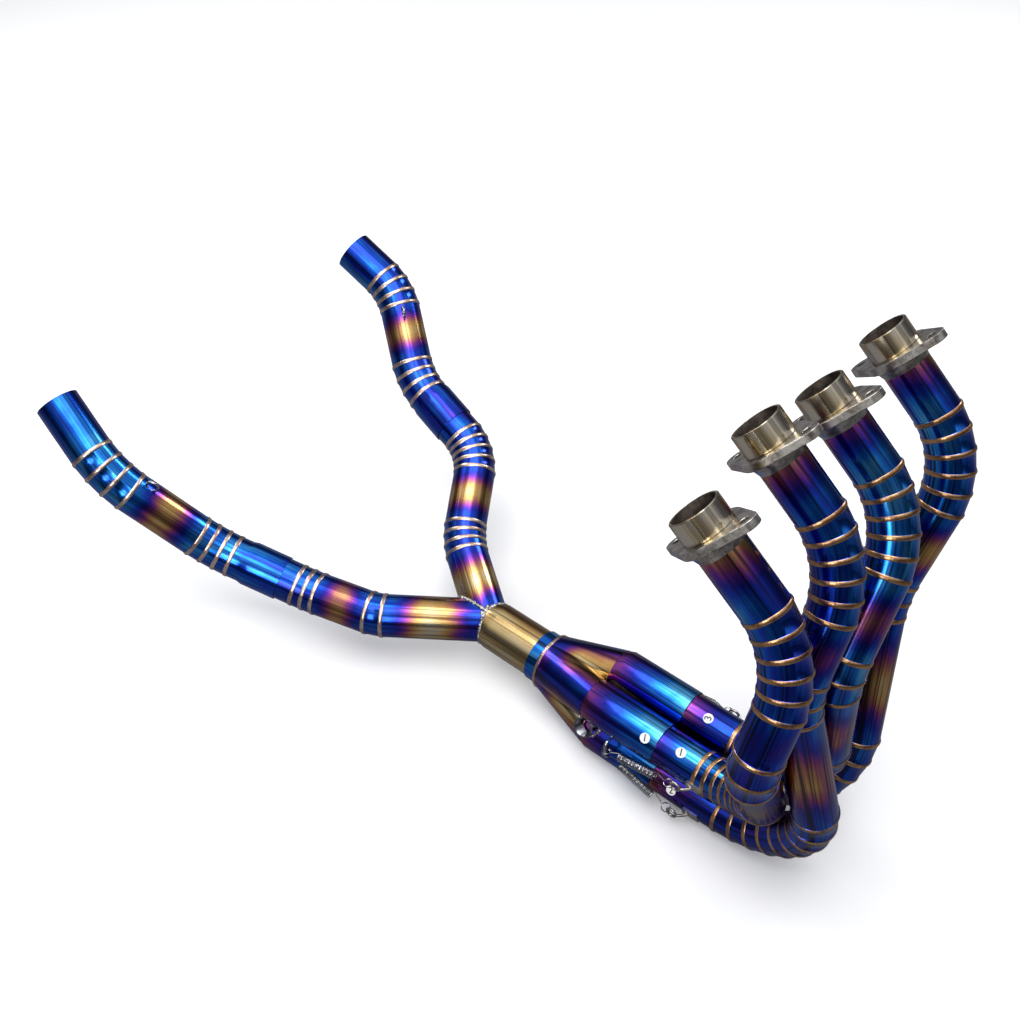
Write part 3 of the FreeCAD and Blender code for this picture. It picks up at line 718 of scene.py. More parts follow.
class MitredTube:
    """A thin tube along a route, with a rippled weld bead at each mitre."""

    BEAD_OFFSETS = (0.0, 0.3, 0.55, 0.78, 0.93, 1.0)

    def __init__(self, route: Route, radii: Sequence[float], sizes: TubeSizes, heat: TubeHeat) -> None:
        """Work out the frames along the route.

        Args:
            route: Corners and which of them are welds.
            radii: The outer radius at each corner.
            sizes: Wall, bead and mesh sizes.
            heat: How the tube was tinted.
        """
        self.route = route
        self.radii = list(radii)
        self.sizes = sizes
        self.heat = heat
        corners = route.corners
        self.directions = [(after - here).normalized() for here, after in zip(corners, corners[1:])]
        self.lengths = [(after - here).length for here, after in zip(corners, corners[1:])]
        across = self.directions[0].cross(Z_AXIS).normalized()
        self.across = [across]
        for before, after in zip(self.directions, self.directions[1:]):
            across = before.rotation_difference(after) @ across
            self.across.append(across)
        self.normals = [self.directions[0]]
        self.normals += [(a + b).normalized() for a, b in zip(self.directions, self.directions[1:])]
        self.normals.append(self.directions[-1])

    def _points(self, segment: int, offset: float, normal: Vector, radius: float,
                bead: float) -> list[Vector]:
        """Points of one ring, in the plane with that normal."""
        along = self.directions[segment]
        across = self.across[segment]
        up = along.cross(across)
        centre = self.route.corners[segment] + along * offset
        points = []
        for angle in full_turn(self.sizes.around):
            ripple = math.sin(self.sizes.ripples * angle) * self.sizes.ripple_rise * bead
            reach = radius + self.sizes.bead_rise * bead + ripple
            side = toward(across, up, angle) * reach
            slide = -side.dot(normal) / along.dot(normal)
            points.append(centre + side + along * slide)
        return points

    def _offsets(self, segment: int) -> list[tuple[float, float, float]]:
        """Offsets along one segment, each with its bead height and its share of the way."""
        length = self.lengths[segment]
        width = self.sizes.bead_half_width
        stops: list[tuple[float, float]] = []
        head = width if self.route.welded[segment] else 0.0
        tail = width if self.route.welded[segment + 1] else 0.0
        if head:
            stops += [(share * width, math.sqrt(1.0 - share * share)) for share in self.BEAD_OFFSETS]
        else:
            stops.append((0.0, 0.0))
        free = length - head - tail
        count = max(1, int(free / self.sizes.step))
        stops += [(head + free * step / count, 0.0) for step in range(1, count)]
        if tail:
            stops += [(length - share * width, math.sqrt(1.0 - share * share))
                      for share in reversed(self.BEAD_OFFSETS)]
        else:
            stops.append((length, 0.0))
        return [(offset, bead, offset / length) for offset, bead in stops]

    def _share_from_weld(self, segment: int, share: float) -> float:
        """0 at a weld, 1 at the coolest place of the straight."""
        head = self.route.welded[segment]
        tail = self.route.welded[segment + 1]
        if head and tail:
            return 1.0 - abs(2.0 * share - 1.0)
        return share if head else 1.0 - share

    def add_to(self, shell: Shell) -> tuple[list, list]:
        """Add the outer skin to a shell.

        Args:
            shell: The shell that gets the rings.

        Returns:
            The first and the last ring.
        """
        travelled = 0.0
        first: list = []
        before: Optional[list] = None
        before_bead = 0.0
        for segment, length in enumerate(self.lengths):
            offsets = self._offsets(segment)
            for order, (offset, bead, share) in enumerate(offsets):
                if segment > 0 and order == 0:
                    continue
                normal = self.normals[segment].lerp(self.normals[segment + 1], share).normalized()
                if bead > 0.0:
                    normal = self.normals[segment] if share < 0.5 else self.normals[segment + 1]
                start, end = self.radii[segment], self.radii[segment + 1]
                radius = start + (end - start) * share
                points = self._points(segment, offset, normal, radius, bead)
                place = travelled + offset
                cool = self._share_from_weld(segment, share)
                depth = self.heat.depth_of(segment, len(self.lengths))
                heats = [self.heat.at(depth, length, cool, angle) for angle in full_turn(len(points))]
                ring = shell.ring(points, heats, place)
                if before is None:
                    first = ring
                else:
                    shell.join(before, ring, 1 if bead + before_bead > 0.9 else 0)
                before = ring
                before_bead = bead
            travelled += length
        return first, before or first

    def add_inside(self, shell: Shell, first: list, last: list, slot: int) -> None:
        """Add the inner skin and the two end faces.

        Args:
            shell: The shell that gets the rings.
            first: The outer skin's first ring.
            last: The outer skin's last ring.
            slot: Material index of the inside.
        """
        before: Optional[list] = None
        for corner in range(len(self.route.corners)):
            segment = min(corner, len(self.lengths) - 1)
            offset = 0.0 if corner < len(self.lengths) else self.lengths[-1]
            radius = self.radii[corner] - self.sizes.wall
            points = self._points(segment, offset, self.normals[corner], radius, 0.0)
            ring = shell.ring(points, [0.2] * len(points), 0.0)
            if before is None:
                shell.join(first, ring, 0)
            else:
                shell.join(before, ring, slot)
            before = ring
        shell.join(last, before or last, 0)


class Wire:
    """A round wire or rod along a list of points."""

    def __init__(self, points: Sequence[Vector], radius: float, sides: int = 10,
                 closed: bool = False) -> None:
        """Keep the path.

        Args:
            points: The centre line's points.
            radius: The wire's radius.
            sides: Number of points round the wire.
            closed: Whether the last point joins the first.
        """
        self.points = list(points)
        self.radius = radius
        self.sides = sides
        self.closed = closed

    def add_to(self, shell: Shell, slot: int = 0,
               rise: Callable[[float], float] = lambda share: 1.0) -> None:
        """Add the wire to a shell.

        Args:
            shell: The shell that gets the rings.
            slot: Material index.
            rise: Scales the radius by the share of the way along.
        """
        count = len(self.points)
        tangents = []
        for index in range(count):
            last = index == count - 1 and not self.closed
            first = index == 0 and not self.closed
            ahead = self.points[index if last else (index + 1) % count]
            back = self.points[index if first else index - 1]
            tangents.append((ahead - back).normalized())
        side = tangents[0].orthogonal().normalized()
        rings = []
        travelled = 0.0
        for index, (point, tangent) in enumerate(zip(self.points, tangents)):
            if index:
                side = tangents[index - 1].rotation_difference(tangent) @ side
                travelled += (point - self.points[index - 1]).length
            up = tangent.cross(side)
            reach = self.radius * rise(index / max(1, count - 1))
            ring = [point + toward(side, up, angle) * reach for angle in full_turn(self.sides)]
            rings.append(shell.ring(ring, [0.2] * self.sides, travelled))
        shell.loft(rings, slot, self.closed)
        if not self.closed:
            shell.cap(rings[0], slot)
            shell.cap(rings[-1], slot)


def circle_points(centre: Vector, first: Vector, second: Vector, radius: float, count: int,
                  start: float = 0.0, sweep: float = TURN) -> list[Vector]:
    """Points on an arc.

    Args:
        centre: The arc's centre.
        first: Unit direction of angle zero.
        second: Unit direction of a quarter turn.
        radius: The arc's radius.
        count: Number of points.
        start: Angle of the first point.
        sweep: How far the arc turns.

    Returns:
        The points in order.
    """
    closed = abs(sweep - TURN) < 1e-6
    steps = count if closed else count - 1
    angles = [start + sweep * index / steps for index in range(count)]
    return [centre + toward(first, second, angle) * radius for angle in angles]


class Turned:
    """A piece turned round an axis from a closed profile."""

    def __init__(self, origin: Vector, axis: Vector, profile: Sequence[tuple[float, float]]) -> None:
        """Keep the profile.

        Args:
            origin: Where the profile's distance is zero.
            axis: Unit direction of the axis.
            profile: Distance along the axis and radius of each ring, in a closed loop.
        """
        self.origin = origin
        self.axis = axis.normalized()
        self.profile = list(profile)

    def add_to(self, shell: Shell, slot: int = 0, heat: float = 0.2) -> None:
        """Add the turned piece to a shell."""
        across, up = square_to(self.axis)
        rings = []
        for distance, radius in self.profile:
            points = circle_points(self.origin + self.axis * distance, across, up, radius, shell.around)
            rings.append(shell.ring(points, [heat] * shell.around, distance))
        shell.loft(rings, slot, closed=True)


# Sub-assemblies

class Assembly:
    """Base of all sub-assemblies: hands finished pieces to the frame."""

    def __init__(self, materials: Materials) -> None:
        """Keep the materials."""
        self.materials = materials

    def add(self, shell: Shell, name: str, finishes: Sequence[Finish], slot: str,
            nodes: Sequence[str] = ()) -> bpy.types.Object:
        """Finish a shell as a piece of the object.

        Args:
            shell: The built shell.
            name: The piece's name.
            finishes: Its materials, in the order of the material indices.
            slot: The record's material slot; not used.
            nodes: The CAD nodes that the piece stands for.

        Returns:
            The new object.
        """
        piece = shell.finish(name, [self.materials.get(finish) for finish in finishes])
        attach(piece, "root")
        if nodes:
            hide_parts(*nodes)
        return piece


class HeaderPipes(Assembly):
    """The four header pipes with their port sleeves and flanges."""

    COLLAR_RISE = 3.4 * MM
    COLLAR_LENGTH = 10.0 * MM
    SLEEVE_BORE = 22.65 * MM
    SLEEVE_RADIUS = 23.8 * MM
    SLEEVE_EDGE = 0.5 * MM
    SLEEVE_HEAT = 0.03
    DEPTHS = {1: 0.42, 2: 0.46, 3: 0.46, 4: 0.56}
    PORT_DEPTH = 0.75
    MERGE_DISTANCE = 0.01 * MM
    FLAT_ANGLE = math.radians(1.0)
    BEVEL_WIDTH = 0.9 * MM
    BEVEL_ANGLE = math.radians(50)

    def build(self) -> None:
        """Build every pipe, sleeve and flange."""
        for sizes in HEADERS:
            self._pipe(sizes)
            self._sleeve(sizes)
            self._flange(sizes)

    def _pipe(self, sizes: HeaderSizes) -> None:
        """One mitred pipe with the weld at its collar."""
        route = header_route(sizes)
        radii = [PRIMARY.radius] * len(route.corners)
        shell = Shell(PRIMARY.around)
        depth = self.DEPTHS[sizes.number]
        heat = TubeHeat(depth, self.PORT_DEPTH, depth, sizes.number * 1.7)
        tube = MitredTube(route, radii, PRIMARY, heat)
        first, last = tube.add_to(shell)
        tube.add_inside(shell, first, last, 2)
        self._collar(shell, route.corners[0], sizes.number)
        number = sizes.number
        finishes = (Finish.HEADER_SKIN, Finish.HEADER_BEAD, Finish.INSIDE, Finish.FORGED)
        self.add(shell, "header_tube_%d" % number, finishes, "titanium_header", ["header_pipe_%d" % number])

    def _collar(self, shell: Shell, rim: Vector, number: int) -> None:
        """The weld fillet under the flange, rough on the first pipe."""
        top = FLANGE_DEPTH + FLANGE_THICKNESS
        across, up = square_to(PORT_DIRECTION)
        rows = ((0.0, -0.6), (0.0, 1.0), (0.25, 0.86), (0.5, 0.50), (0.75, 0.24), (1.0, 0.0),
                (1.0, -0.6))
        rough = 1.0 if number == 1 else 0.25
        rings = []
        for share, rise in rows:
            centre = rim + PORT_DIRECTION * (top + share * self.COLLAR_LENGTH)
            points = []
            for angle in full_turn(shell.around):
                lump = math.sin(23 * angle + 5.0 * share) * 0.4 + math.sin(11 * angle + 2.0) * 0.5
                lump *= rough * 0.5 * MM if 0.2 < share < 0.9 else 0.0
                reach = PRIMARY.radius + self.COLLAR_RISE * rise + lump
                points.append(centre + toward(across, up, angle) * reach)
            rings.append(shell.ring(points, [0.1] * shell.around, share * 0.01))
        shell.loft(rings, 3, closed=True)

    def _sleeve(self, sizes: HeaderSizes) -> None:
        """The machined sleeve at the port end of one pipe."""
        rim = Vector(sizes.rim) * MM + OUTLET_LIP
        bore, outer, edge = self.SLEEVE_BORE, self.SLEEVE_RADIUS, self.SLEEVE_EDGE
        length = FLANGE_DEPTH
        profile = ((edge, bore), (0.0, bore + edge), (0.0, outer - edge), (edge, outer),
                   (length - edge, outer), (length, outer - edge), (length, bore))
        shell = Shell(128)
        Turned(rim - PORT_DIRECTION * 0.02 * MM, PORT_DIRECTION, profile).add_to(shell, 0, self.SLEEVE_HEAT)
        number = sizes.number
        self.add(shell, "port_ring_%d" % number, (Finish.POLISHED,), "machined_steel",
                 ["port_sleeve_%d" % number])

    def _flange(self, sizes: HeaderSizes) -> None:
        """A merged and bevelled copy of the frame's flange."""
        name = "port_flange_%d" % sizes.number
        shell = Shell(8)
        mesh = shell.mesh
        mesh.from_mesh(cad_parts[name].data)
        bmesh.ops.remove_doubles(mesh, verts=mesh.verts, dist=self.MERGE_DISTANCE)
        bmesh.ops.dissolve_limit(mesh, angle_limit=self.FLAT_ANGLE, verts=mesh.verts, edges=mesh.edges)
        for face in mesh.faces:
            face.material_index = 0
        finishes = (Finish.FORGED,)
        piece = self.add(shell, "flange_plate_%d" % sizes.number, finishes, "machined_steel", [name])
        bevel = piece.modifiers.new("edge", "BEVEL")
        bevel.width = self.BEVEL_WIDTH
        bevel.segments = 3
        bevel.limit_method = "ANGLE"
        bevel.angle_limit = self.BEVEL_ANGLE
        bevel.harden_normals = True


class Collector(Assembly):
    """The four-into-one collector with its weld ring, outlet and sensor boss."""

    AROUND = 192
    ROWS = 26
    WELD_HALF_WIDTH = 3.0 * MM
    WELD_RISE = 1.3 * MM
    WELD_SINK = 1.6 * MM
    WELD_RIPPLE = 0.15 * MM
    WELD_RIPPLES = 64
    CONE_OVERLAP = 2.0 * MM
    CONE_SHORT = 7.0 * MM
    ROOT_DEPTH = 16.0 * MM
    ROOT_TRIM = 0.25 * MM
    WELD_BEDDED = 0.3 * MM
    EDGE = 0.4 * MM
    SOCKET_SIDES = 96
    CONE_HEAT = 0.76
    VALLEY_COOL = 0.62
    REAR_COOL = 0.22
    OUTLET_HEAT = 0.86
    BOSS_FACE = Vector((100.0, -51.5, 5.6)) * MM
    BOSS_TILT = math.radians(32.0)
    BOSS_RADIUS = 12.0 * MM
    BOSS_DEPTH = 21.0 * MM
    BOSS_EDGE = 0.8 * MM
    DABS = 26
    DAB_SIZE = 2.1
    DAB_UNEVEN = 0.35
    DAB_GAP = 0.8 * MM
    DAB_SEARCH = 0.25 * MM
    THREAD_RADIUS = 9.0 * MM
    THREAD_DEPTH = 0.85 * MM
    THREAD_PITCH = 1.5 * MM

    def build(self) -> None:
        """Build the collector's body, sockets, weld ring and boss."""
        shell = Shell(self.AROUND)
        self._cone(shell)
        self._outlet(shell)
        self._sockets(shell)
        finishes = (Finish.HEADER_SKIN, Finish.TAIL_BEAD, Finish.INSIDE)
        self.add(shell, "collector_body", finishes, "titanium_collector", ["collector"])
        self._boss()

    @staticmethod
    def lobes(forward: float) -> tuple[float, float]:
        """Half spacing and radius of the lobes at a distance forward of the outlet lip."""
        start = COLLECTOR.cone_start - COLLECTOR.lobe_run_in
        share = (forward - start) / (COLLECTOR.cone_end - start)
        small = COLLECTOR.outlet_radius - COLLECTOR.lobe_step
        radius = small + (COLLECTOR.socket_radius - small) * share
        return COLLECTOR.half_spacing * share, radius

    @classmethod
    def reach(cls, forward: float, angle: float) -> float:
        """Distance from the axis to the lobed surface in a direction."""
        half, radius = cls.lobes(forward)
        best = 0.0
        for quarter in range(4):
            turn = angle - math.pi / 4.0 - quarter * math.pi / 2.0
            aside = half * math.sqrt(2.0) * math.sin(turn)
            if abs(aside) < radius:
                chord = math.sqrt(radius * radius - aside * aside)
                best = max(best, half * math.sqrt(2.0) * math.cos(turn) + chord)
        return best

    def _cone(self, shell: Shell) -> None:
        """The lobed cone, from the outlet to just past the sockets' roots."""
        start = COLLECTOR.cone_start - self.CONE_OVERLAP
        end = COLLECTOR.cone_end - self.CONE_SHORT
        rings = []
        for row in range(self.ROWS + 1):
            forward = start + (end - start) * row / self.ROWS
            points = []
            heats = []
            for angle in full_turn(self.AROUND):
                reach = self.reach(forward, angle)
                points.append(OUTLET_LIP + X_AXIS * forward + toward(Y_AXIS, Z_AXIS, angle) * reach)
                valley = math.cos(2.0 * angle) ** 2
                hot = self.CONE_HEAT - self.VALLEY_COOL * valley * smoothstep(0.08, 0.55, row / self.ROWS)
                heats.append(hot - self.REAR_COOL * (1.0 - smoothstep(0.0, 0.3, row / self.ROWS)))
            rings.append(shell.ring(points, heats, forward))
        shell.loft(rings, 0)
        shell.cap(rings[0], 2)
        shell.cap(rings[-1], 0)

    def _outlet(self, shell: Shell) -> None:
        """The outlet sleeve and the raised weld in front of it."""
        outer, bore, start = COLLECTOR.outlet_radius, COLLECTOR.outlet_bore, COLLECTOR.cone_start
        edge = self.EDGE
        profile = ((0.0, bore), (0.0, outer - edge), (edge, outer), (start, outer), (start, bore))
        Turned(OUTLET_LIP, X_AXIS, profile).add_to(shell, 0, self.OUTLET_HEAT)
        rings = []
        last = 8
        for step in range(last + 1):
            share = -1.0 + 2.0 * step / last
            rise = self.WELD_RISE * math.sqrt(max(0.0, 1.0 - share * share))
            points = []
            forward = start + share * self.WELD_HALF_WIDTH
            for angle in full_turn(self.AROUND):
                ripple = self.WELD_RIPPLE * math.sin(self.WELD_RIPPLES * angle)
                lift = -self.WELD_SINK if step in (0, last) else rise + ripple
                crest = max(outer, self.reach(forward, angle) if share > -0.5 else 0.0)
                reach = crest - self.WELD_BEDDED + lift
                points.append(OUTLET_LIP + X_AXIS * forward + toward(Y_AXIS, Z_AXIS, angle) * reach)
            rings.append(shell.ring(points, [0.1] * self.AROUND, 0.0))
        shell.loft(rings, 1, closed=True)

    def _sockets(self, shell: Shell) -> None:
        """The four round sockets."""
        outer, bore = COLLECTOR.socket_radius, COLLECTOR.socket_bore
        root = COLLECTOR.cone_end - self.ROOT_DEPTH
        mouth, edge, sides = COLLECTOR.mouth, self.EDGE, self.SOCKET_SIDES
        rows = ((root, outer, 0.46), (COLLECTOR.cone_end, outer, 0.48), (130.0 * MM, outer, 0.70),
                (160.0 * MM, outer, 0.82), (mouth - edge, outer, 0.88), (mouth, outer - edge, 0.88),
                (mouth, bore, 0.3), (root, bore, 0.3))
        for sizes in HEADERS:
            corner = Vector((0.0, sizes.side, sizes.level))
            rings = []
            for forward, radius, heat in rows:
                inside = forward < COLLECTOR.cone_end
                half = self.lobes(forward)[0] if inside else COLLECTOR.half_spacing
                trim = self.ROOT_TRIM if inside else 0.0
                centre = OUTLET_LIP + corner * half + X_AXIS * forward
                points = circle_points(centre, Y_AXIS, Z_AXIS, radius - trim, sides)
                rings.append(shell.ring(points, [heat] * sides, forward))
            for order, (first, second) in enumerate(zip(rings, rings[1:] + rings[:1])):
                shell.join(first, second, 2 if order == 6 else 0)

    def _boss(self) -> None:
        """The threaded sensor boss and the weld dabs round its foot."""
        outward = Vector((0.0, -math.cos(self.BOSS_TILT), math.sin(self.BOSS_TILT)))
        face = OUTLET_LIP + self.BOSS_FACE
        outer, inner, edge, depth = self.BOSS_RADIUS, self.THREAD_RADIUS, self.BOSS_EDGE, self.BOSS_DEPTH
        profile = [(-depth, outer), (-edge, outer), (0.0, outer - edge), (0.0, inner + edge),
                   (-edge, inner)]
        turns = int((depth - 2.0 * edge) / self.THREAD_PITCH)
        for turn in range(turns):
            top = -edge - turn * self.THREAD_PITCH
            profile.append((top - self.THREAD_PITCH * 0.5, inner - self.THREAD_DEPTH))
            profile.append((top - self.THREAD_PITCH, inner))
        profile.append((-depth, inner))
        shell = Shell(96)
        Turned(face, outward, profile).add_to(shell)
        self._dabs(shell, face, outward)
        finishes = (Finish.BOSS, Finish.DABS)
        self.add(shell, "sensor_boss_piece", finishes, "machined_steel", ["sensor_boss"])

    def _inside(self, point: Vector) -> bool:
        """Whether a point is inside the collector's outer surface."""
        local = point - OUTLET_LIP
        if local.x > COLLECTOR.cone_end:
            half, radius = COLLECTOR.half_spacing, COLLECTOR.socket_radius
        else:
            half, radius = self.lobes(local.x)
        return math.hypot(abs(local.y) - half, abs(local.z) - half) < radius

    def _dabs(self, shell: Shell, face: Vector, outward: Vector) -> None:
        """Overlapping dabs of weld where the boss meets the collector."""
        across, up = square_to(outward)
        for index, angle in enumerate(full_turn(self.DABS)):
            direction = toward(across, up, angle)
            point = face + direction * (self.BOSS_RADIUS + self.DAB_GAP)
            depth = 0.0
            while depth < self.BOSS_DEPTH and not self._inside(point - outward * depth):
                depth += self.DAB_SEARCH
            centre = point - outward * (depth - 0.4 * MM)
            tangent = outward.cross(direction)
            size = (self.DAB_SIZE + self.DAB_UNEVEN * math.sin(index * 2.4)) * MM
            self._dab(shell, centre, direction, tangent, outward, size)

    @staticmethod
    def _dab(shell: Shell, centre: Vector, out: Vector, along: Vector, up: Vector, size: float) -> None:
        """One flattened drop of weld metal."""
        made = bmesh.ops.create_icosphere(shell.mesh, subdivisions=2, radius=1.0)
        for vert in made["verts"]:
            spot = vert.co.copy()
            vert.co = centre + (out * spot.x * 1.15 + along * spot.y * 0.85 + up * spot.z * 0.62) * size
            vert[shell.heat] = 0.1
        for face in {face for vert in made["verts"] for face in vert.link_faces}:
            face.material_index = 1
            face.smooth = True


class TailPipes(Assembly):
    """The Y pipe and the two link pipes."""

    DEPTH = 0.62
    END_DEPTH = 0.10
    INLET_HEAT = 0.14
    # Painted shade: how far one side of the inlet is pushed towards a darker brown
    INLET_STRIPE = 0.10
    WELD_RADIUS = 3.2 * MM
    WELD_STEPS = 60
    NECK = 14.0 * MM
    OVERLAP = 12.0 * MM

    def build(self) -> None:
        """Build the Y pipe with its crotch weld, and both links."""
        shell = Shell(BRANCH.around)
        self._inlet(shell)
        for side in Side:
            self._branch(shell, side)
        self._crotch_weld(shell)
        finishes = (Finish.TAIL_SKIN, Finish.TAIL_BEAD, Finish.INSIDE, Finish.DABS)
        self.add(shell, "y_pipe_body", finishes, "titanium_tail", ["y_pipe"])
        for side in Side:
            self._link(side)

    def _inlet(self, shell: Shell) -> None:
        """The straight inlet and its neck, with a painted shade band down one side."""
        rows = 14
        start, end = -self.OVERLAP, CROTCH_DISTANCE - self.NECK
        rings = []
        places = [start + (end - start) * row / rows for row in range(rows + 1)]
        outer = [(place, INLET_RADIUS) for place in places] + [(CROTCH_DISTANCE, BRANCH.radius)]
        inner = [(CROTCH_DISTANCE, BRANCH.radius - BRANCH.wall), (start, INLET_RADIUS - BRANCH.wall)]
        for back, radius in outer + inner:
            centre = OUTLET_LIP - X_AXIS * back
            points = circle_points(centre, Y_AXIS, Z_AXIS, radius, shell.around)
            # Painted shade: the heat rises towards a darker brown along one side of the inlet
            heats = [self.INLET_HEAT + self.INLET_STRIPE * smoothstep(0.6, 1.0, math.cos(angle - 0.6))
                     for angle in full_turn(shell.around)]
            rings.append(shell.ring(points, heats, back))
        for order, (first, second) in enumerate(zip(rings, rings[1:] + rings[:1])):
            shell.join(first, second, 2 if order > rows + 1 else 0)

    def _branch(self, shell: Shell, side: Side) -> None:
        """One mitred branch."""
        bends, _ = tail_bends(side)
        start = OUTLET_LIP - X_AXIS * CROTCH_DISTANCE
        corners = [start + X_AXIS * self.NECK, start] + bends[0] + bends[1]
        direction = tail_direction(TAILS[side][2])
        corners.append(corners[-1] + direction * (SLEEVE_START + SLEEVE_OVERLAP))
        welded = [False] + [True] * (len(corners) - 2) + [False]
        heat = TubeHeat(self.DEPTH, 0.0, self.END_DEPTH, 1.0 + side.value)
        tube = MitredTube(Route(corners, welded), [BRANCH.radius] * len(corners), BRANCH, heat)
        first, last = tube.add_to(shell)
        tube.add_inside(shell, first, last, 2)

    def _crotch_weld(self, shell: Shell) -> None:
        """Three half ellipses of heavy weld that meet above and below the crotch."""
        centre = OUTLET_LIP - X_AXIS * CROTCH_DISTANCE
        near = tail_direction(TAILS[Side.NEAR][0])
        far = tail_direction(TAILS[Side.FAR][0])
        for first, second in ((near, far), (near, X_AXIS), (far, X_AXIS)):
            normal = (first - second).normalized()
            inward = (first + second).normalized()
            minor = inward.cross(normal).normalized()
            half_angle = first.angle(second) / 2.0
            major = BRANCH.radius / math.sin(half_angle)
            points = []
            for index in range(self.WELD_STEPS + 1):
                angle = -math.pi / 2.0 + math.pi * index / self.WELD_STEPS
                points.append(centre + toward(inward * major, minor * BRANCH.radius, angle))
            Wire(points, self.WELD_RADIUS, 12).add_to(shell, 3, self._weld_rise)

    @staticmethod
    def _weld_rise(share: float) -> float:
        """Uneven beads along a hand-laid weld."""
        return 0.80 + 0.16 * math.sin(share * 150.0) + 0.10 * math.sin(share * 41.0)

    def _link(self, side: Side) -> None:
        """One link pipe with its expanded sleeve."""
        bends, end = tail_bends(side)
        direction = tail_direction(TAILS[side][2])
        sleeve = bends[1][-1] + direction * SLEEVE_START
        wide = BRANCH.radius + SLIP_GAP + BRANCH.wall
        taper = sleeve + direction * SLEEVE_LENGTH
        corners = [sleeve, taper, taper + direction * SLEEVE_TAPER] + bends[2] + bends[3] + [end]
        radii = [wide, wide, BRANCH.radius] + [BRANCH.radius] * (len(corners) - 3)
        welded = [False] * 3 + [True] * (len(corners) - 4) + [False]
        shell = Shell(BRANCH.around)
        heat = TubeHeat(self.DEPTH, self.END_DEPTH, self.END_DEPTH, 2.4 * side.value)
        tube = MitredTube(Route(corners, welded), radii, BRANCH, heat)
        first, last = tube.add_to(shell)
        tube.add_inside(shell, first, last, 2)
        name = side.name.lower()
        finishes = (Finish.TAIL_SKIN, Finish.TAIL_BEAD, Finish.INSIDE)
        self.add(shell, "link_tube_" + name, finishes, "titanium_tail", ["link_pipe_" + name])


@dataclass(frozen=True)
class HardwareSizes:
    """Hooks, springs and hangers, in metres."""

    hook_x: float = 134.0 * MM
    reach: float = 56.5 * MM
    half_height: float = 12.0 * MM
    rod: float = 2.0 * MM
    eye_forward: float = 89.0 * MM
    upper_eye_rise: float = 20.0 * MM
    lower_eye_fall: float = 34.0 * MM
    eye_radius: float = 5.5 * MM
    eye_wire: float = 1.5 * MM
    strap_thickness: float = 2.0 * MM
    strap_length: float = 20.0 * MM
    spring_radius: float = 5.2 * MM
    wire: float = 0.68 * MM
    loop: float = 5.0 * MM
    coil_length: float = 46.0 * MM
    coil_turns: int = 23
    hanger_radius: float = 7.0 * MM
    hanger_wire: float = 1.6 * MM


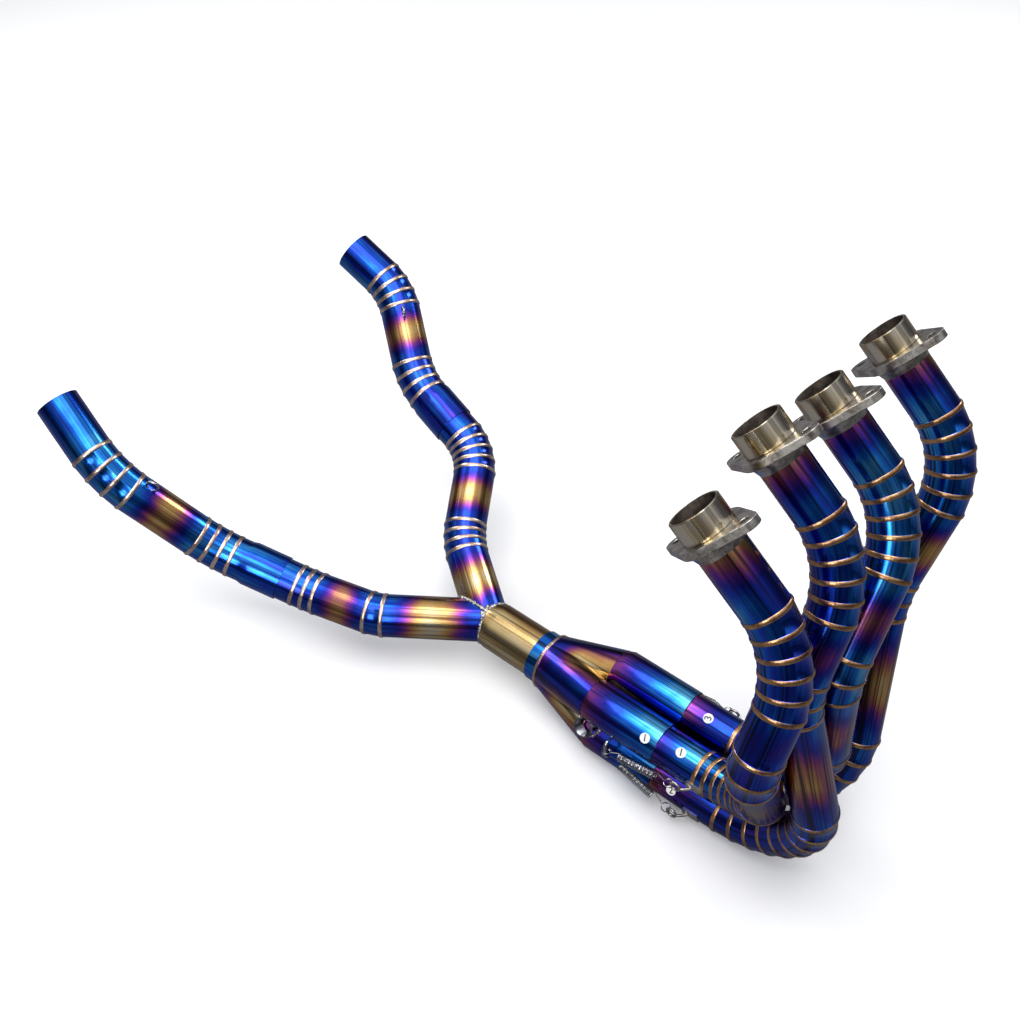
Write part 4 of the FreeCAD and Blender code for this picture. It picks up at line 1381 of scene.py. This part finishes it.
class Hardware(Assembly):
    """Hooks on the collector and the pipes, the four springs and the two hangers."""

    SIZES = HardwareSizes()
    STRAP_SPREAD = math.radians(26.0)

    def build(self) -> None:
        """Build all hooks, springs and hangers."""
        for side in Side:
            self._collector_hook(side)
            self._hanger(side)
        for sizes in HEADERS:
            self._header_hook(sizes)
            self._spring(sizes)

    def _eye(self, sizes: HeaderSizes) -> Vector:
        """Centre of the eye on one header pipe."""
        rise = self.SIZES.upper_eye_rise if sizes.level == 1 else -self.SIZES.lower_eye_fall
        forward = self.SIZES.hook_x + self.SIZES.eye_forward
        return OUTLET_LIP + Vector((forward, sizes.side * self.SIZES.reach, rise))

    def _collector_hook(self, side: Side) -> None:
        """A bent rod in the valley between two sockets."""
        own = self.SIZES
        outward = Y_AXIS * side.value
        bend = 4.0 * MM
        middle = OUTLET_LIP + X_AXIS * own.hook_x + outward * own.reach
        inner = OUTLET_LIP + X_AXIS * own.hook_x + outward * COLLECTOR.half_spacing * 1.5
        points = [inner + Z_AXIS * own.half_height]
        upper = middle + Z_AXIS * (own.half_height - bend) - outward * bend
        points += circle_points(upper, Z_AXIS, outward, bend, 7, 0.0, math.pi / 2.0)
        lower = middle - Z_AXIS * (own.half_height - bend) - outward * bend
        points += circle_points(lower, outward, -Z_AXIS, bend, 7, 0.0, math.pi / 2.0)
        points.append(inner - Z_AXIS * own.half_height)
        shell = Shell(14)
        Wire(points, own.rod, 14).add_to(shell)
        name = side.name.lower()
        self.add(shell, "hook_rod_" + name, (Finish.WIRE,), "titanium_collector", ["collector_hook_" + name])

    def _header_hook(self, sizes: HeaderSizes) -> None:
        """A strap welded to the pipe, with an arm and an eye."""
        own = self.SIZES
        eye = self._eye(sizes)
        pipe = OUTLET_LIP + Vector((0.0, sizes.side, sizes.level)) * COLLECTOR.half_spacing
        shell = Shell(32)
        ring = circle_points(eye, X_AXIS, Z_AXIS, own.eye_radius, 36)
        Wire(ring, own.eye_wire, 12, closed=True).add_to(shell)
        lift = eye.z - pipe.z
        surface = sizes.side * math.sqrt(PRIMARY.radius ** 2 - lift ** 2)
        start = eye + X_AXIS * own.eye_radius
        foot_x = eye.x + own.eye_radius + own.rod + own.strap_length * 0.4
        foot = Vector((foot_x, pipe.y + surface, eye.z))
        knee = start.lerp(foot, 0.5) + Vector((0.0, (start.y - foot.y) * 0.22, 0.0))
        shares = [step / 6.0 for step in range(7)]
        arm = [start.lerp(knee, share).lerp(knee.lerp(foot, share), share) for share in shares]
        Wire(arm, own.eye_wire * 1.15, 12).add_to(shell)
        self._strap(shell, eye.x + own.eye_radius + own.rod, pipe, math.atan2(lift, surface))
        number = sizes.number
        self.add(shell, "pipe_hook_%d" % number, (Finish.FORGED,), "titanium_header",
                 ["header_hook_%d" % number])

    def _strap(self, shell: Shell, start: float, pipe: Vector, middle: float) -> None:
        """A curved plate that hugs the pipe."""
        own = self.SIZES
        inner = PRIMARY.radius
        outer = PRIMARY.radius + own.strap_thickness
        columns = 14
        rows = []
        for share in (0.0, 0.06, 0.5, 0.94, 1.0):
            x = start + own.strap_length * share
            trim = 0.8 if share in (0.0, 1.0) else 1.0
            loop = []
            for radius, order in ((inner, range(columns + 1)), (outer, range(columns, -1, -1))):
                for step in order:
                    angle = middle + self.STRAP_SPREAD * trim * (2.0 * step / columns - 1.0)
                    reach = inner + (radius - inner) * (0.6 if trim < 1.0 else 1.0)
                    loop.append(Vector((x, pipe.y, pipe.z)) + toward(Y_AXIS, Z_AXIS, angle) * reach)
            rows.append(shell.ring(loop, [0.2] * len(loop), x))
        shell.loft(rows, 0)
        shell.cap(rows[0], 0)
        shell.cap(rows[-1], 0)

    def _spring(self, sizes: HeaderSizes) -> None:
        """One wire: a loop, a leg, the coil, a leg and a loop."""
        own = self.SIZES
        eye = self._eye(sizes)
        stack = sizes.level * (own.wire + SLIP_GAP) * 2.0
        rod = OUTLET_LIP + Vector((own.hook_x, sizes.side * own.reach, stack))
        along = (eye - rod).normalized()
        loop_axis = along.cross(Y_AXIS).normalized()
        aside = loop_axis.cross(along)
        rear = rod + along * (own.loop - own.rod - own.wire - SLIP_GAP)
        play = own.eye_radius - own.eye_wire - own.wire - SLIP_GAP
        front = eye - along * (own.loop + play)
        middle = (rear + front) / 2.0
        coil_radius = own.spring_radius - own.wire
        gap = math.radians(28.0)
        points = circle_points(rear, along, aside, own.loop, 20, gap, TURN - gap)
        start = middle - along * own.coil_length / 2.0
        steps = own.coil_turns * 18
        for step in range(steps + 1):
            angle = TURN * own.coil_turns * step / steps
            spot = start + along * own.coil_length * step / steps
            points.append(spot + toward(aside, loop_axis, angle) * coil_radius)
        points += circle_points(front, -along, aside, own.loop, 20, 0.0, TURN - gap)
        shell = Shell(8)
        Wire(points, own.wire, 8).add_to(shell)
        number = sizes.number
        self.add(shell, "spring_wire_%d" % number, (Finish.WIRE,), "spring_steel", ["spring_%d" % number])

    def _hanger(self, side: Side) -> None:
        """A round wire eye on a link pipe."""
        own = self.SIZES
        bends, _ = tail_bends(side)
        direction = tail_direction(TAILS[side][3])
        outward = (Z_AXIS - direction * direction.z).normalized()
        reach = BRANCH.radius + own.hanger_radius - own.hanger_wire
        centre = bends[3][0] - direction * own.hanger_radius * 2.0 + outward * reach
        points = circle_points(centre, direction, outward, own.hanger_radius, 40)
        shell = Shell(14)
        Wire(points, own.hanger_wire, 14, closed=True).add_to(shell)
        name = side.name.lower()
        self.add(shell, "hanger_eye_" + name, (Finish.WIRE,), "spring_steel", ["link_hanger_" + name])


@dataclass(frozen=True)
class LabelPlace:
    """Where a round number label sits on a straight pipe, and how it is turned."""

    digit: str
    centre: Vector
    axis: Vector
    radius: float
    angle: float
    turn: float


class Labels(Assembly):
    """Round paper labels with plain digits."""

    RADIUS = 5.6 * MM
    LIFT = 0.12 * MM
    DIGIT_HEIGHT = 8.0 * MM
    DIGIT_LIFT = 0.12 * MM
    SHEET = ((0.02, -0.1), (0.5, -0.1), (1.0, -0.1), (1.0, 0.05), (0.5, 0.05), (0.02, 0.05))
    ON_RUNS = (
        (0, 173.0, COLLECTOR.socket_radius, 131.0, 20.0),
        (0, 213.0, PRIMARY.radius, 112.0, 20.0),
        (1, 213.0, PRIMARY.radius, 150.0, 20.0),
        (2, 212.0, PRIMARY.radius, 110.0, 110.0),
    )

    def build(self) -> None:
        """Place the labels on the level runs, and the slanted one on the first pipe."""
        places = []
        for index, forward, radius, angle, turn in self.ON_RUNS:
            sizes = HEADERS[index]
            offset = Vector((0.0, sizes.side, sizes.level)) * COLLECTOR.half_spacing
            centre = OUTLET_LIP + X_AXIS * forward * MM + offset
            places.append(LabelPlace(str(sizes.number), centre, X_AXIS, radius, angle, turn))
        top, bottom = header_route(HEADERS[0]).corners[UPPER_RINGS:UPPER_RINGS + 2]
        axis = (bottom - top).normalized()
        places.append(LabelPlace("2", top.lerp(bottom, 0.35), axis, PRIMARY.radius, 30.0, -60.0))
        for order, place in enumerate(places):
            self._label(order, place)

    def _label(self, order: int, place: LabelPlace) -> None:
        """One paper label wrapped round its pipe, with its digit.

        Args:
            order: Number that its pieces' names end with.
            place: The label's digit, place and turn.
        """
        axis = place.axis
        first = (Y_AXIS - axis * axis.y).normalized()
        second = axis.cross(first)
        radius = place.radius + self.LIFT
        base = math.radians(place.angle)
        turn = math.radians(place.turn)

        def wrap(across: float, up: float, lift: float) -> Vector:
            """A flat point of the label, laid on the pipe."""
            x = across * math.cos(turn) - up * math.sin(turn)
            y = across * math.sin(turn) + up * math.cos(turn)
            angle = base - y / radius
            return place.centre + axis * x + toward(first, second, angle) * (radius + lift)

        sides = 48
        shell = Shell(sides)
        rings = []
        for share, lift in self.SHEET:
            points = []
            spot = self.RADIUS * share
            for angle in full_turn(sides):
                points.append(wrap(spot * math.cos(angle), spot * math.sin(angle), lift * MM))
            rings.append(shell.ring(points, [0.0] * sides, 0.0))
        shell.loft(rings, 0, closed=True)
        self.add(shell, "label_%d" % order, (Finish.PAPER,), "spring_steel")
        self._digit(order, place.digit, wrap)

    def _digit(self, order: int, digit: str, wrap: Callable[[float, float, float], Vector]) -> None:
        """A digit that follows the label's curve."""
        text = bpy.data.curves.new("digit_text_%d" % order, "FONT")
        text.body = digit
        text.size = self.DIGIT_HEIGHT * 1.35
        text.align_x = "CENTER"
        text.align_y = "CENTER"
        text.extrude = 0.03 * MM
        text.offset = 0.12 * MM
        holder = bpy.data.objects.new("digit_holder_%d" % order, text)
        bpy.context.collection.objects.link(holder)
        bpy.context.view_layer.update()
        data = bpy.data.meshes.new_from_object(holder)
        bpy.data.objects.remove(holder)
        mesh = bmesh.new()
        mesh.from_mesh(data)
        bmesh.ops.triangulate(mesh, faces=mesh.faces)
        for _ in range(3):
            bmesh.ops.subdivide_edges(mesh, edges=mesh.edges, cuts=1, use_grid_fill=True)
        for vert in mesh.verts:
            x, y, z = vert.co
            vert.co = wrap(x, y, self.DIGIT_LIFT + z)
        mesh.to_mesh(data)
        mesh.free()
        data.materials.clear()
        data.materials.append(self.materials.get(Finish.INK))
        piece = bpy.data.objects.new("digit_%d" % order, data)
        bpy.context.collection.objects.link(piece)
        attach(piece, "root")


# Camera, light and floor

class Studio:
    """Floor, lights and the camera at the photograph's angle."""

    CAMERA_PLACE = Vector((540.1, -663.1, 1165.0)) * MM
    AZIMUTH = math.radians(41.07)
    ELEVATION = math.radians(47.1)
    ROLL = math.radians(-2.19)
    FOCAL_PIXELS = 1250.0
    PICTURE_PIXELS = 1020.0
    SENSOR = 36.0
    FLOOR = (0.93, 0.93, 0.93)
    # Painted reflection: the floor's colour as the metal mirrors it, much darker than the floor is
    MIRRORED_FLOOR = (0.16, 0.16, 0.17)
    FLOOR_HALF = 6.0

    def build(self) -> None:
        """Set up the whole studio."""
        low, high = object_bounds()
        self._floor(low, high)
        self._world()
        self._lights((Vector(low) + Vector(high)) / 2.0)
        self._camera()
        bpy.context.scene.view_settings.view_transform = "Standard"

    @staticmethod
    def _floor(low: Vector, high: Vector) -> None:
        """A wide pale floor just under the object, which glossy rays see as dark: a painted dark reflection
        in the metal.
        """
        mesh = bmesh.new()
        bmesh.ops.create_grid(mesh, x_segments=1, y_segments=1, size=Studio.FLOOR_HALF)
        data = bpy.data.meshes.new("floor")
        mesh.to_mesh(data)
        mesh.free()
        floor = bpy.data.objects.new("floor", data)
        floor.location = ((low[0] + high[0]) / 2.0, (low[1] + high[1]) / 2.0, low[2] - 0.5 * MM)
        material = bpy.data.materials.new("floor_paint")
        material.use_nodes = True
        sheet = NodeSheet(material.node_tree)
        shader = material.node_tree.nodes["Principled BSDF"]
        # Painted reflection: the camera sees the floor pale, but the metal mirrors it dark
        rays = sheet.add("ShaderNodeLightPath")
        seen = sheet.math("SUBTRACT", 1.0, rays.outputs["Is Glossy Ray"])
        tone = sheet.ramp(seen, ((0.0, Studio.MIRRORED_FLOOR), (1.0, Studio.FLOOR)))
        sheet.link(tone, shader.inputs["Base Color"])
        shader.inputs["Roughness"].default_value = 0.9
        data.materials.append(material)
        bpy.context.collection.objects.link(floor)
        floor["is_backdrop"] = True

    @staticmethod
    def _world() -> None:
        """A sky that is bright above and dark at the horizon, for contrast in the metal."""
        world = bpy.data.worlds.new("studio")
        bpy.context.scene.world = world
        world.use_nodes = True
        sheet = NodeSheet(world.node_tree)
        place = sheet.add("ShaderNodeTexCoord").outputs["Generated"]
        split = sheet.add("ShaderNodeSeparateXYZ")
        sheet.link(place, split.inputs[0])
        stops = ((0.0, (0.75, 0.75, 0.77)), (0.44, (0.30, 0.31, 0.33)), (0.52, (0.05, 0.05, 0.06)),
                 (0.70, (0.10, 0.10, 0.12)), (0.84, (0.85, 0.87, 0.92)), (1.0, (1.0, 1.0, 1.0)))
        height = sheet.math("ADD", sheet.math("MULTIPLY", split.outputs["Z"], 0.5), 0.5)
        color = sheet.ramp(height, stops)
        background = world.node_tree.nodes["Background"]
        sheet.link(color, background.inputs["Color"])
        background.inputs["Strength"].default_value = 0.9

    @staticmethod
    def _lights(centre: Vector) -> None:
        """Large soft panels: above, near side and rear."""
        panels = (
            ("top_panel", (0.1, -0.2, 1.9), 1.6, 26.0),
            ("near_panel", (0.5, -1.7, 0.9), 0.8, 13.0),
            ("rear_panel", (-1.7, 0.2, 1.0), 0.7, 11.0),
            ("far_panel", (0.4, 1.8, 0.8), 0.6, 9.0),
        )
        for name, offset, size, power in panels:
            light = bpy.data.lights.new(name, "AREA")
            light.size = size
            light.energy = power
            lamp = bpy.data.objects.new(name, light)
            lamp.location = centre + Vector(offset)
            lamp.rotation_euler = (centre - lamp.location).to_track_quat("-Z", "Y").to_euler()
            bpy.context.collection.objects.link(lamp)

    def _camera(self) -> None:
        """The camera at the photograph's place and angle."""
        level = Vector((math.cos(self.AZIMUTH), math.sin(self.AZIMUTH), 0.0))
        flat = math.cos(self.ELEVATION)
        forward = Vector((-math.sin(self.AZIMUTH) * flat, math.cos(self.AZIMUTH) * flat,
                          -math.sin(self.ELEVATION)))
        upright = level.cross(forward)
        right = toward(level, upright, self.ROLL)
        up = right.cross(forward)
        data = bpy.data.cameras.new("camera")
        data.sensor_width = self.SENSOR
        data.lens = self.FOCAL_PIXELS / self.PICTURE_PIXELS * self.SENSOR
        data.clip_end = 50.0
        camera = bpy.data.objects.new("camera", data)
        rotation = Matrix((right, up, -forward)).transposed()
        camera.matrix_world = Matrix.Translation(self.CAMERA_PLACE + OUTLET_LIP) @ rotation.to_4x4()
        bpy.context.collection.objects.link(camera)
        bpy.context.scene.camera = camera


def main() -> None:
    """Build the scene."""
    logging.basicConfig(level=logging.INFO)
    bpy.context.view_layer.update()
    materials = Materials()
    for assembly in (HeaderPipes, Collector, TailPipes, Hardware, Labels):
        LOG.info("building %s", assembly.__name__)
        assembly(materials).build()
    Studio().build()


if __name__ == "__main__":
    main()
